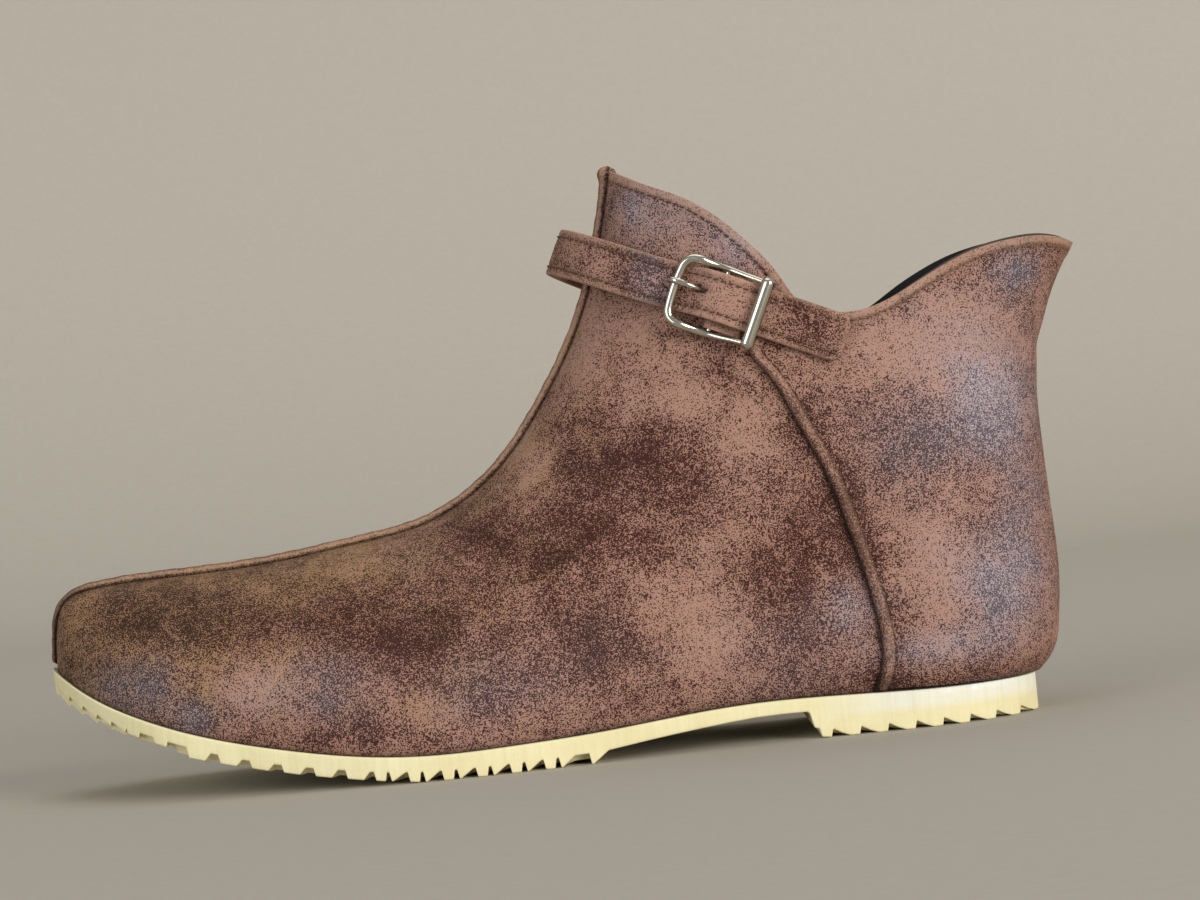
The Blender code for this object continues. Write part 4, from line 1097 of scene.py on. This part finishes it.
lower, upper_edge, out = strap_ribbon(4.0, [("outer", BUCKLE_AT + np.arange(-1.0, 2.0), np.zeros(3))])
middles = (lower + upper_edge) / 2
SEAT_ORIGIN = middles[1]
SEAT_S = unit(middles[2] - middles[0])
SEAT = np.stack([SEAT_S, np.cross(out[1], SEAT_S), out[1]])


def at_buckle(path):
    """Points in the frame from distances along the strap, across it and out from the leather."""
    return SEAT_ORIGIN + np.asarray(path, float) @ SEAT


def bed(s):
    """How far the leather under the strap lies above the buckle's own plane."""
    spot = np.atleast_1d(BUCKLE_AT + s * math.cos(STRAP_SLOPE))
    return float((strap_bed(spot, 0.0, "outer")[0] - SEAT_ORIGIN) @ SEAT[2])


def bar_level(name):
    """Height of a bar that lies on the strap."""
    strap_top = bed(BAR_S[name]) + float(read(STRAP_RISE, "s", "n", BAR_S[name])) + STRAP_THICK
    return strap_top + GAP + WIRE[name]


BAR_N = dict(tongue_rest=bar_level("tongue_rest"), keeper=bar_level("keeper"))
BAR_N["middle"] = GAP + TAB_THICK + TAB_SLACK + WIRE["middle"]


def smooth_path(points, count):
    """A smooth line through points, at even steps between them, with the distances of both."""
    distance = along(points)
    fine = np.linspace(0, distance[-1], count)
    return np.stack([spline(distance, column, fine) for column in points.T], -1), distance, fine


def tube(path, reference, count, sides=20):
    """A round section carried along a smooth line through points of s, t, n and radius. Both ends are closed
    by a half-round."""
    path = np.asarray(path, float)
    line, distance, fine = smooth_path(path[:, :3], count)
    radius = np.interp(fine, distance, path[:, 3])
    run = unit(np.gradient(line, axis=0))
    bow = np.linspace(0, math.pi / 2, 6)[:-1]
    caps = []
    for end, sign in ((0, -1), (-1, 1)):
        centre = line[end] + sign * run[end] * (radius[end] * np.cos(bow) * 0.8)[:, None]
        caps.append((centre, radius[end] * np.sin(bow)))
    first, last = caps
    line = np.concatenate([first[0], line, last[0][::-1]])
    radius = np.concatenate([first[1], radius, last[1][::-1]])
    run = np.concatenate([np.repeat(run[:1], 5, 0), run, np.repeat(run[-1:], 5, 0)])
    side = unit(np.cross(run, reference))
    up = np.cross(side, run)
    turn = circle(sides)[:, None]
    ring = side[:, None] * np.cos(turn) + up[:, None] * np.sin(turn)
    return at_buckle(line[:, None] + radius[:, None, None] * ring)


def joined(rings):
    """Several rings as one list of points and quads."""
    quads = []
    first = 0
    for ring in rings:
        quads.append(grid_quads(*ring.shape[:2], ring=True) + first)
        first += ring.shape[0] * ring.shape[1]
    return np.concatenate([ring.reshape(-1, 3) for ring in rings]), np.concatenate(quads)


def frame_path():
    """One arm from the keeper round the front corner, then the other arm back."""
    front, back = BAR_S["tongue_rest"], BAR_S["keeper"]
    arm = [(back, FRAME_HALF["keeper"], BAR_N["keeper"], WIRE["arm_end"])]
    for s, t, rise, radius in zip(*ARM.values()):
        arm.append((s, t, blend(BAR_N["middle"], BAR_N["keeper"], rise), radius))
    half_way = blend(BAR_N["middle"], BAR_N["tongue_rest"], 0.5)
    arm.append((0.4 * front, FRAME_HALF["tongue_rest"], half_way, WIRE["arm"]))
    for angle in np.linspace(0, math.pi / 2, 5):
        s = front + CORNER * (1 - math.sin(angle))
        t = FRAME_HALF["tongue_rest"] - CORNER * (1 - math.cos(angle))
        arm.append((s, t, BAR_N["tongue_rest"], WIRE["tongue_rest"]))
    return arm + [(s, -t, n, radius) for s, t, n, radius in arm[::-1]]


def bar_path(name, s, half):
    """A straight bar across the frame."""
    return [(s, t, BAR_N[name], WIRE[name]) for t in np.linspace(-half, half, 4)]


def prong_path():
    """A hook over the middle bar, up through the strap and over the front bar."""
    hook = WIRE["middle"] + TAB_SLACK + PRONG_WIRE
    rest = BAR_N["tongue_rest"] + WIRE["tongue_rest"] + GAP + PRONG_WIRE
    middle = BAR_N["middle"]
    turns = np.linspace(*PRONG_HOOK, 6)
    path = [(hook * math.cos(turn), PRONG_T, middle + hook * math.sin(turn), PRONG_WIRE) for turn in turns]
    for s, rise, radius in zip(*PRONG.values()):
        path.append((s, PRONG_T, blend(middle + 0.7, rest, rise), radius))
    return path


def polished_nickel():
    """Warm bright nickel, with cloudy tarnish, fine scratches and a faint cast waviness."""
    finish = Finish("polished_nickel", {"Metallic": 1.0})
    tarnish = finish.noise(160, 4)
    scratch = finish.noise(2400, 2, 0.8)
    colour = finish.mix((tarnish * 1.6 - 0.5).held(), (0.64, 0.61, 0.52, 1), (0.46, 0.42, 0.34, 1))
    finish.set(Base_Color=colour)
    finish.set(Roughness=0.07 + tarnish * 0.1 + scratch * 0.05)
    finish.bump(finish.noise(420, 2) * 0.7 + scratch * 0.3, 0.00005, 0.5)
    return finish.material


nickel = polished_nickel()
frame_ring = tube(frame_path(), (0, 0, 1), 220)
keeper_half = FRAME_HALF["keeper"] + KEEPER_PAST - 0.9
keeper_ring = tube(bar_path("keeper", BAR_S["keeper"], keeper_half), (0, 0, 1), 30, 28)
middle_ring = tube(bar_path("middle", 0.0, FRAME_HALF["tongue_rest"]), (0, 0, 1), 20)
points, quads = joined([frame_ring, keeper_ring, middle_ring])
add_piece("buckle_frame_metal", points, nickel, "buckle_frame", quads)
ring = tube(prong_path(), (0, 1, 0), 60)
add_piece("buckle_prong_metal", ring, nickel, "buckle_prong")


def tab_shape():
    """A belt folded round the middle bar: along the leather, half round the bar and back on itself."""
    bar = BAR_N["middle"]
    around = WIRE["middle"] + TAB_SLACK + TAB_THICK / 2
    low = bed(TAB_END) + GAP + TAB_THICK / 2
    turns = np.linspace(-math.pi / 2, -3 * math.pi / 2, 9)
    t = np.mean(TAB_ACROSS)
    fold = [(around * math.cos(turn), t, bar + around * math.sin(turn)) for turn in turns]
    lower_ply = [(TAB_END, t, low), (TAB_BEND, t, low + 0.25)]
    upper_ply = [(TAB_BEND, t, low + TAB_THICK + 0.65), (TAB_END, t, low + TAB_THICK + TAB_SLACK)]
    line = smooth_path(np.array(lower_ply + fold + upper_ply), 60)[0]
    run = unit(np.gradient(line, axis=0))
    out = np.cross(run, (0.0, 1.0, 0.0))
    sideways = np.broadcast_to(SEAT[1], line.shape)
    half = np.full(len(line), np.ptp(TAB_ACROSS) / 2)
    ring, _, edge, _ = belt_ring(at_buckle(line), sideways, out @ SEAT, half, TAB_THICK, 0.3)
    return ring, edge


ring, from_edge = (closed_ends(part) for part in tab_shape())
marks = strap_marks(on_boot(ring), from_edge.ravel(), 0 * from_edge.ravel())
add_piece("buckle_tab_leather", ring, leather, "buckle_tab", marks=marks)


# Stitches. Waxed brown thread in short lockstitches: along the collar, behind the quarter's ridges, and all
# round the strap. Behind the quarter's notch the collar was sewn with a lighter, orange thread.
STITCH_PITCH, STITCH_LONG, STITCH_WIDE, STITCH_PROUD = 2.2, 1.5, 0.6, 0.38
STITCH_SLANT = 0.16
COLLAR_SEWN = dict(front=(172.8, 214.0), rear=(224.0, 300.0))
QUARTER_SEWN = (13.5, 106.0)
ORANGE = dict(front=0.15, rear=0.6, quarter=0.12, strap=0.25)


def stitch_lenses(line, out):
    """One small lens for each stitch along a line: long along it, slanted a bit, sunk to half its height."""
    distance = along(line)
    at = np.arange(STITCH_PITCH / 2, distance[-1], STITCH_PITCH)
    centre = resample(line, at)
    up = unit(sampled(out, distance, at))
    ahead = unit(sampled(np.gradient(line, axis=0), distance, at))
    sideways = np.cross(up, ahead)
    tilted = unit(ahead + STITCH_SLANT * sideways)
    sideways = np.cross(up, tilted)
    polar = np.linspace(0, math.pi, 7)[:, None]
    turn = circle(8)
    long = STITCH_LONG / 2 * np.sign(np.cos(polar)) * np.abs(np.cos(polar)) ** 0.8 + 0 * turn
    wide = STITCH_WIDE / 2 * np.sin(polar) ** 0.7 * np.cos(turn)
    high = STITCH_PROUD * np.sin(polar) ** 0.7 * np.sin(turn)
    lens = np.stack([long, wide, high], -1)
    axes = np.stack([tilted, sideways, up], 1)
    return centre[:, None, None] + lens @ axes[:, None]


def upper_normals(from_toe, height, side):
    """Outward normals of the upper's side, from small steps along and up it."""
    step = 0.4
    ahead = place(from_toe + step, height, side) - place(from_toe - step, height, side)
    up = place(from_toe, height + step, side) - place(from_toe, height - step, side)
    return unit(np.cross(ahead, up)) * (1 if side == "outer" else -1)


def raised_row(seen, side, lift):
    """A row on the upper seen from the side, lifted off it along its normals."""
    out = upper_normals(seen[:, 0], seen[:, 1], side)
    return place(seen[:, 0], seen[:, 1], side) + out * np.asarray(lift)[..., None], out


def collar_rows(side):
    """The collar's edge moved down by the stitch's distance: the front part on the hem, the back part on the
    quarter."""
    line = collar_line(300, side)
    run = unit(np.gradient(line, axis=0))
    row = line + COLLAR_ROW * to_right(run)
    back = read(BACK_LINE, "height", "from_toe", row[:, 1])
    front, rear = ((row[:, 0] > start) & (row[:, 0] < end) for start, end in COLLAR_SEWN.values())
    rear &= row[:, 0] < back - 0.8
    on_quarter = GAP + QUARTER_THICK + 0.3
    return raised_row(row[front], side, HEM_PROUD), raised_row(row[rear], side, on_quarter)


def quarter_row(side):
    """The quarter's front edge moved back past the ridge."""
    row = side_line(QUARTER_EDGE, np.linspace(*QUARTER_SEWN, 120)) + (RIDGE_WIDE + 0.6, 0)
    return raised_row(row, side, GAP + QUARTER_THICK + 0.05)


def strap_row():
    """All round the strap's face, inside its edge."""
    lower, upper_edge, out, rise = strap_runs()
    level = out * (rise + STRAP_THICK + 0.02)[:, None]
    inset = STRAP_STITCH / STRAP_WIDE
    trim = slice(2, -2)
    low = blend(lower, upper_edge, inset) + level
    high = blend(lower, upper_edge, 1 - inset) + level
    return (low[trim], out[trim]), (high[trim], out[trim])


rows = []
for side in ("outer", "inner"):
    front, rear = collar_rows(side)
    rows += [("front", front), ("rear", rear), ("quarter", quarter_row(side))]
rows += [("strap", row) for row in strap_row()]
lenses = []
orange = []
for place_sewn, (line, out) in rows:
    sewn = stitch_lenses(line, out)
    lenses += list(sewn)
    orange.append(np.full(sewn[..., 0].size, ORANGE[place_sewn]))


def waxed_thread():
    """Dark brown or orange thread with a twist, a little shiny from its wax."""
    finish = Finish("waxed_thread", {"Specular IOR Level": 0.4})
    fray = finish.noise(900, 3)
    colour = finish.mix(finish.marked("orange"), (0.072, 0.036, 0.023, 1), (0.28, 0.135, 0.045, 1))
    finish.set(Base_Color=finish.mix((fray * 0.8 - 0.1).held() * 0.6, colour, (0.03, 0.014, 0.009, 1)))
    finish.set(Roughness=0.45 + fray * 0.25)
    finish.bump(finish.noise(3200, 1), 0.00008, 0.6)
    return finish.material


points, quads = joined(lenses)
marks = dict(orange=np.concatenate(orange))
add_piece("stitching", points, waxed_thread(), quads=quads, marks=marks)


# Insole. A board covered with the lining's black cloth, cut to the inside of the upper and cemented in.
INSOLE_THICK, INSOLE_INSET, INSOLE_SEAT, INSOLE_CORNER = 2.4, 1.3, 0.1, 0.8


def sole_edge(margin, count=400):
    """Plan of the upper's lower edge moved outwards: its outer and inner side as lines from toe to heel."""
    from_toe = blend(FRONT[0, 0], HEEL_CORNER, eased(count))
    outer = place(from_toe, feather_height(from_toe), "outer")[:, :2]
    inner = place(from_toe, feather_height(from_toe), "inner")[::-1, :2]
    edge = np.concatenate([outer, inner[1:-1]])
    run = unit(np.roll(edge, -1, axis=0) - np.roll(edge, 1, axis=0))
    moved = edge + margin * to_right(run)
    return moved[:count], np.concatenate([moved[count - 1 :], moved[:1]])[::-1]


def slab_ring(spots, outer, inner, low, high, corner, across=np.linspace(-1, 1, 9), side=5):
    """Sections across a slab: a rectangle from the outer to the inner edge and from low to high, its corners
    rounded, as a ring of points at each spot along the boot."""
    wide = np.maximum(inner - outer, 0.0)
    radius = np.minimum(np.minimum(corner, wide / 2), (high - low) / 2)[:, None]
    flat, up = len(across), np.linspace(-1, 1, side)
    turn = np.linspace(0, math.pi / 2, 5)[1:-1]
    rim = np.ones(3 + side + 3)
    share = np.concatenate([across, rim, across[::-1], -rim])
    tall = np.concatenate([-np.ones(flat + 3), up, np.ones(3 + flat + 3), up[::-1], -np.ones(3)])
    bow_y = np.concatenate([0 * across, np.sin(turn), np.ones(side), np.cos(turn)])
    bow_z = np.concatenate([-np.ones(flat), -np.cos(turn), 0 * up, np.sin(turn)])
    past_y = np.concatenate([bow_y, -bow_y])
    past_z = np.concatenate([bow_z, -bow_z])
    y = ((inner + outer) / 2)[:, None] + share * (wide[:, None] / 2 - radius) + past_y * radius
    z = ((low + high) / 2)[:, None] + tall * ((high - low)[:, None] / 2 - radius) + past_z * radius
    x = np.broadcast_to((spots - FRAME_ORIGIN)[:, None], y.shape)
    return np.stack([x, y, z], -1)


def slab_sides(edge, spots):
    """Where the outer and inner edges lie across the boot at spots along it."""
    return [np.interp(spots - FRAME_ORIGIN, line[:, 0], line[:, 1]) for line in edge]


edge = sole_edge(-INSOLE_INSET)
ends = edge[0][[0, -1], 0] + FRAME_ORIGIN
spots = blend(ends[0] + 0.6, ends[1] - 0.6, eased(140))
base = feather_height(spots) + INSOLE_SEAT
ring = slab_ring(spots, *slab_sides(edge, spots), base, base + INSOLE_THICK, INSOLE_CORNER)
add_piece("insole_cloth", closed_ends(ring), lining, "insole")


# Outsole. One unit of cream rubber, cut from moulded sheet: small saw teeth and lugs under the toe, lugs in
# pairs under the ball, a bare arch and a low heel with saw teeth. Its edge is trimmed by hand.
SOLE_MARGIN, SOLE_CORNER = 1.2, 0.55
SHEET_AT = (36.0, 60.0, 84.0, 112.0, 131.0, 155.0, 165.0, 185.0, 199.0)
SHEET_THICK = (3.9, 4.3, 3.9, 4.3, 4.8, 5.3, 4.8, 4.3, 3.8)
SOLE_REACH = (-9.0, 296.0)
FLAT_FROM = 106.0
TOE_RISE = dict(slope=0.1, curve=0.0012)
TOE_TEETH = dict(first=0.5, pitch=4.5, count=5, depth=1.5)
TOE_LUGS = dict(first=23.0, pitch=8.0, count=2, wide=3.6, depth=1.5)
LUGS = dict(first=40.5, pitch=8.75, count=6, wide=6.5, foot=0.72)
PAIRS = dict(first=92.0, pitch=9.2, count=6)
SQUARE_LUG, PAIR_GAP, RAMP_LUG = 3.0, 1.2, 4.2
LAST_LUG = dict(first=150.5, wide=5.2)
ARCH = (160.5, 211.0)
HEEL_FRONT = ((211.7, 7.0), (212.6, 3.0), (214.0, 2.6), (214.4, 0.3), (217.2, 0.0), (217.5, 2.1))
HEEL_TEETH = dict(first=217.9, pitch=7.7, count=8)
HEEL_ROOT = 2.1
STEEP, TREAD_SOFT = 0.2, 0.22
TREAD_ACROSS = np.array([-1, -0.92, -0.9, -0.45, 0, 0.45, 0.9, 0.92, 1])
GROOVE_FILL, GROOVE_NEAR = 0.6, 5.0
GROOVED = (152.0, 217.0)  # ahead of the first and behind the second


def tread_height(from_toe):
    """Lowest line of the tread: flat under the forefoot and heel, rising to the toe."""
    ahead = max(FLAT_FROM - from_toe, 0)
    return TOE_RISE["slope"] * ahead + TOE_RISE["curve"] * ahead**2


def sheet_bottom(from_toe):
    """Underside of the rubber between the lugs, whose sheet is thickest behind the ball."""
    return float(feather_height(from_toe)) - GAP - np.interp(from_toe, SHEET_AT, SHEET_THICK)


def saw_tooth(start, pitch, depth):
    """Ramp that runs down towards the heel and steps back up."""
    end = start + 0.9 * pitch
    root = sheet_bottom(end)
    return [(start, sheet_bottom(start)), (end, root - depth), (end + STEEP, root)]


def square_lug(start, wide, depth=None):
    """Steep at both ends, down to the tread line or to its own depth."""
    foot = [start + STEEP, start + wide]
    low = [sheet_bottom(spot) - depth if depth else tread_height(spot) for spot in foot]
    corners = [(start, sheet_bottom(start)), (foot[0], low[0]), (foot[1], low[1])]
    return [*corners, (start + wide + STEEP, sheet_bottom(start + wide))]


def ramp_lug(start, wide, foot=0.15):
    """Steep front, a foot that takes a share of its width, and a ramp up towards the heel."""
    flat, end = start + foot * wide, start + wide
    corners = [(start, sheet_bottom(start)), (start + STEEP, tread_height(start))]
    return [*corners, (flat, tread_height(flat)), (end, sheet_bottom(end))]


def heel_tooth(start, pitch):
    """Hollow ramp down towards the back, a flat foot and a steep step."""
    shares = ((0, 1), (0.28, 0.42), (0.58, 0), (0.93, 0), (0.96, 1))
    return [(start + share * pitch, height * HEEL_ROOT) for share, height in shares]


def places(row):
    """Where the lugs of a row begin."""
    return [row["first"] + index * row["pitch"] for index in range(row["count"])]


def tread_profile():
    """Side view of the tread from the toe to the heel."""
    front, back = SOLE_REACH
    tread = [(front, sheet_bottom(front))]
    for start in places(TOE_TEETH):
        tread += saw_tooth(start, TOE_TEETH["pitch"], TOE_TEETH["depth"])
    for start in places(TOE_LUGS):
        tread += square_lug(start, TOE_LUGS["wide"], TOE_LUGS["depth"])
    for start in places(LUGS):
        tread += ramp_lug(start, LUGS["wide"], LUGS["foot"])
    for start in places(PAIRS):
        tread += square_lug(start, SQUARE_LUG)
        tread += ramp_lug(start + SQUARE_LUG + PAIR_GAP, RAMP_LUG)
    tread += ramp_lug(LAST_LUG["first"], LAST_LUG["wide"])
    tread += [(spot, sheet_bottom(spot)) for spot in np.linspace(*ARCH, 8)]
    tread += HEEL_FRONT
    for start in places(HEEL_TEETH):
        tread += heel_tooth(start, HEEL_TEETH["pitch"])
    tread.append((back, HEEL_ROOT - 0.4))
    return np.array(tread)


def outsole_ring():
    """Rounded sections along the sole. They stand close together at each corner of the tread, whose line is
    smoothed over half a millimetre, and at the round ends of the plan. Away from the edges the grooves are
    shallower, by a share of their depth below the lowest tread near them."""
    tread = tread_profile()
    edge = sole_edge(SOLE_MARGIN)
    tip, heel = edge[0][[0, -1], 0] + FRAME_ORIGIN
    corners = (tread[:, :1] + np.array([-0.3, -0.12, 0.0, 0.12, 0.3])).ravel()
    spots = np.unique(np.concatenate([blend(tip, heel, eased(220)), corners]).round(2))
    spots = spots[(spots > tip + 0.01) & (spots < heel - 0.01)]
    shift = np.linspace(-TREAD_SOFT, TREAD_SOFT, 9)[:, None]
    low = np.interp(spots + shift, tread[:, 0], tread[:, 1]).mean(0)
    high = feather_height(spots) - GAP
    ring = slab_ring(spots, *slab_sides(edge, spots), low, high, SOLE_CORNER, TREAD_ACROSS)
    near = np.linspace(-GROOVE_NEAR, GROOVE_NEAR, 41)[:, None]
    lowest = np.interp(spots + near, tread[:, 0], tread[:, 1]).min(0)
    grooved = (spots < GROOVED[0]) | (spots > GROOVED[1])
    middle = slice(2, len(TREAD_ACROSS) - 2)
    ring[:, middle, 2] -= (GROOVE_FILL * grooved * (low - lowest))[:, None]
    return ring


def cream_rubber():
    """Cream rubber, whiter above the heel's teeth, with a white smudge of cement there, upright trimming
    marks on its edge, a few dull stains and a soft skin."""
    finish = Finish("cream_rubber", {"Specular IOR Level": 0.35})
    behind, up = finish.coordinate("X"), finish.coordinate("Z")
    stretched = finish.node("Mapping", {}, {"Vector": finish.spot(), "Scale": (1.0, 1.0, 0.06)})
    trimmed = finish.noise(700, 3, where=stretched)
    stain = finish.noise(70, 4, 0.6)
    at_heel = ((behind - 0.062) * 40).held() * ((up - 0.0045) * 400).held()
    smudge = ((behind - 0.098) * 300).held() * ((0.122 - behind) * 300).held()
    smudge = smudge * ((up - 0.0083) * 900).held()
    colour = finish.mix((stain * 1.5 - 0.4).held(), (0.79, 0.73, 0.45, 1), (0.68, 0.60, 0.32, 1))
    colour = finish.mix(at_heel * 0.85, colour, (0.76, 0.755, 0.64, 1))
    colour = finish.mix((trimmed * 1.8 - 0.75).held() * 0.35, colour, (0.53, 0.46, 0.24, 1))
    colour = finish.mix(smudge * (finish.noise(300, 3) * 3 - 1.1).held(), colour, (0.84, 0.86, 0.83, 1))
    dirt = (finish.noise(480, 4, 0.7) * 2.6 - 1.65).held()
    colour = finish.mix(dirt * 0.4, colour, (0.33, 0.26, 0.15, 1))
    finish.set(Base_Color=colour)
    finish.set(Roughness=0.6 + stain * 0.2)
    finish.bump(trimmed * 0.7 + finish.noise(1600, 2) * 0.3, 0.0003, 0.5)
    return finish.material


ring = closed_ends(outsole_ring())
outsole = add_piece("outsole_rubber", ring, cream_rubber(), "outsole")
outsole.data.set_sharp_from_angle(angle=math.radians(50))


# Studio. A pale warm floor that sweeps up behind the boot, a large soft light from the heel's side, a weaker
# one from the toe's side and one above. The camera looks square at the outer side, with a little roll.
FLOOR_FRONT, FLOOR_BACK, FLOOR_RISE, FLOOR_HALF, BACKDROP_HIGH = -12.0, 0.9, 0.7, 8.0, 4.0
CAMERA_FAR, CAMERA_ROLL = 850.0, math.radians(5.6)
CAMERA_AT = (161.28, 84.84)
PIXEL = 0.286
IMAGE_WIDE = 1200


def floor_sweep():
    """A level floor, a quarter round behind it and an upright backdrop, the same from side to side."""
    turn = np.linspace(0, math.pi / 2, 30)
    wall = FLOOR_BACK + FLOOR_RISE
    y = np.concatenate([[FLOOR_FRONT, -1.0], FLOOR_BACK + FLOOR_RISE * np.sin(turn), [wall]])
    z = np.concatenate([[0, 0], FLOOR_RISE * (1 - np.cos(turn)), [BACKDROP_HIGH]])
    x = np.array([-FLOOR_HALF, FLOOR_HALF])
    return np.stack([x + 0 * y[:, None], 0 * x + y[:, None], 0 * x + z[:, None]], -1)


def pale_paper():
    """Matt warm grey paper with faint flecks."""
    finish = Finish("pale_paper", {"Specular IOR Level": 0.2})
    fleck = finish.noise(220, 4, 0.65)
    colour = finish.mix((fleck * 1.4 - 0.2).held(), (0.39, 0.36, 0.306, 1), (0.423, 0.392, 0.338, 1))
    finish.set(Base_Color=colour)
    finish.set(Roughness=0.85 + fleck * 0.1)
    return finish.material


grid = floor_sweep()
mesh = bpy.data.meshes.new("floor")
mesh.from_pydata(grid.reshape(-1, 3).tolist(), [], grid_quads(*grid.shape[:2]).tolist())
mesh.shade_smooth()
mesh.materials.append(pale_paper())
floor = linked("floor", mesh)


def soft_light(name, at, target, size, power, colour):
    """A square area light that faces a point."""
    lamp = bpy.data.lights.new(name, "AREA")
    lamp.size = size
    lamp.energy = power
    lamp.color = colour
    lit = linked(name, lamp)
    lit.location = at
    away = Vector(at) - Vector(target)
    lit.rotation_mode = "QUATERNION"
    lit.rotation_quaternion = away.to_track_quat("Z", "Y")


soft_light("heel_side_light", (3.52, -4.0, 1.44), (0.05, 0, 0.06), 2.9, 276, (1.0, 0.97, 0.93))
soft_light("toe_side_light", (-4.0, -3.84, 1.76), (-0.05, 0, 0.05), 3.5, 120, (0.95, 0.97, 1.0))
soft_light("top_light", (0.2, 0.3, 3.0), (0, 0, 0.05), 2.4, 22, (1.0, 0.99, 0.97))
world = bpy.data.worlds.new("studio")
world.use_nodes = True
sky = world.node_tree.nodes["Background"].inputs
sky["Color"].default_value = (0.95, 0.96, 1.0, 1)
sky["Strength"].default_value = 0.35
bpy.context.scene.world = world
bpy.context.scene.view_settings.view_transform = "Standard"

lens = bpy.data.cameras.new("camera")
lens.sensor_width = 36
lens.lens = lens.sensor_width * CAMERA_FAR / (IMAGE_WIDE * PIXEL)
lens.clip_end = 100
camera = linked("camera", lens)
right = (math.cos(CAMERA_ROLL), 0, -math.sin(CAMERA_ROLL))
above = (math.sin(CAMERA_ROLL), 0, math.cos(CAMERA_ROLL))
turned = Matrix((right, above, (0, -1, 0))).transposed().to_4x4()
spot = ((CAMERA_AT[0] - FRAME_ORIGIN) * MM, -CAMERA_FAR * MM, CAMERA_AT[1] * MM)
camera.matrix_world = Matrix.Translation(spot) @ turned
bpy.context.scene.camera = camera
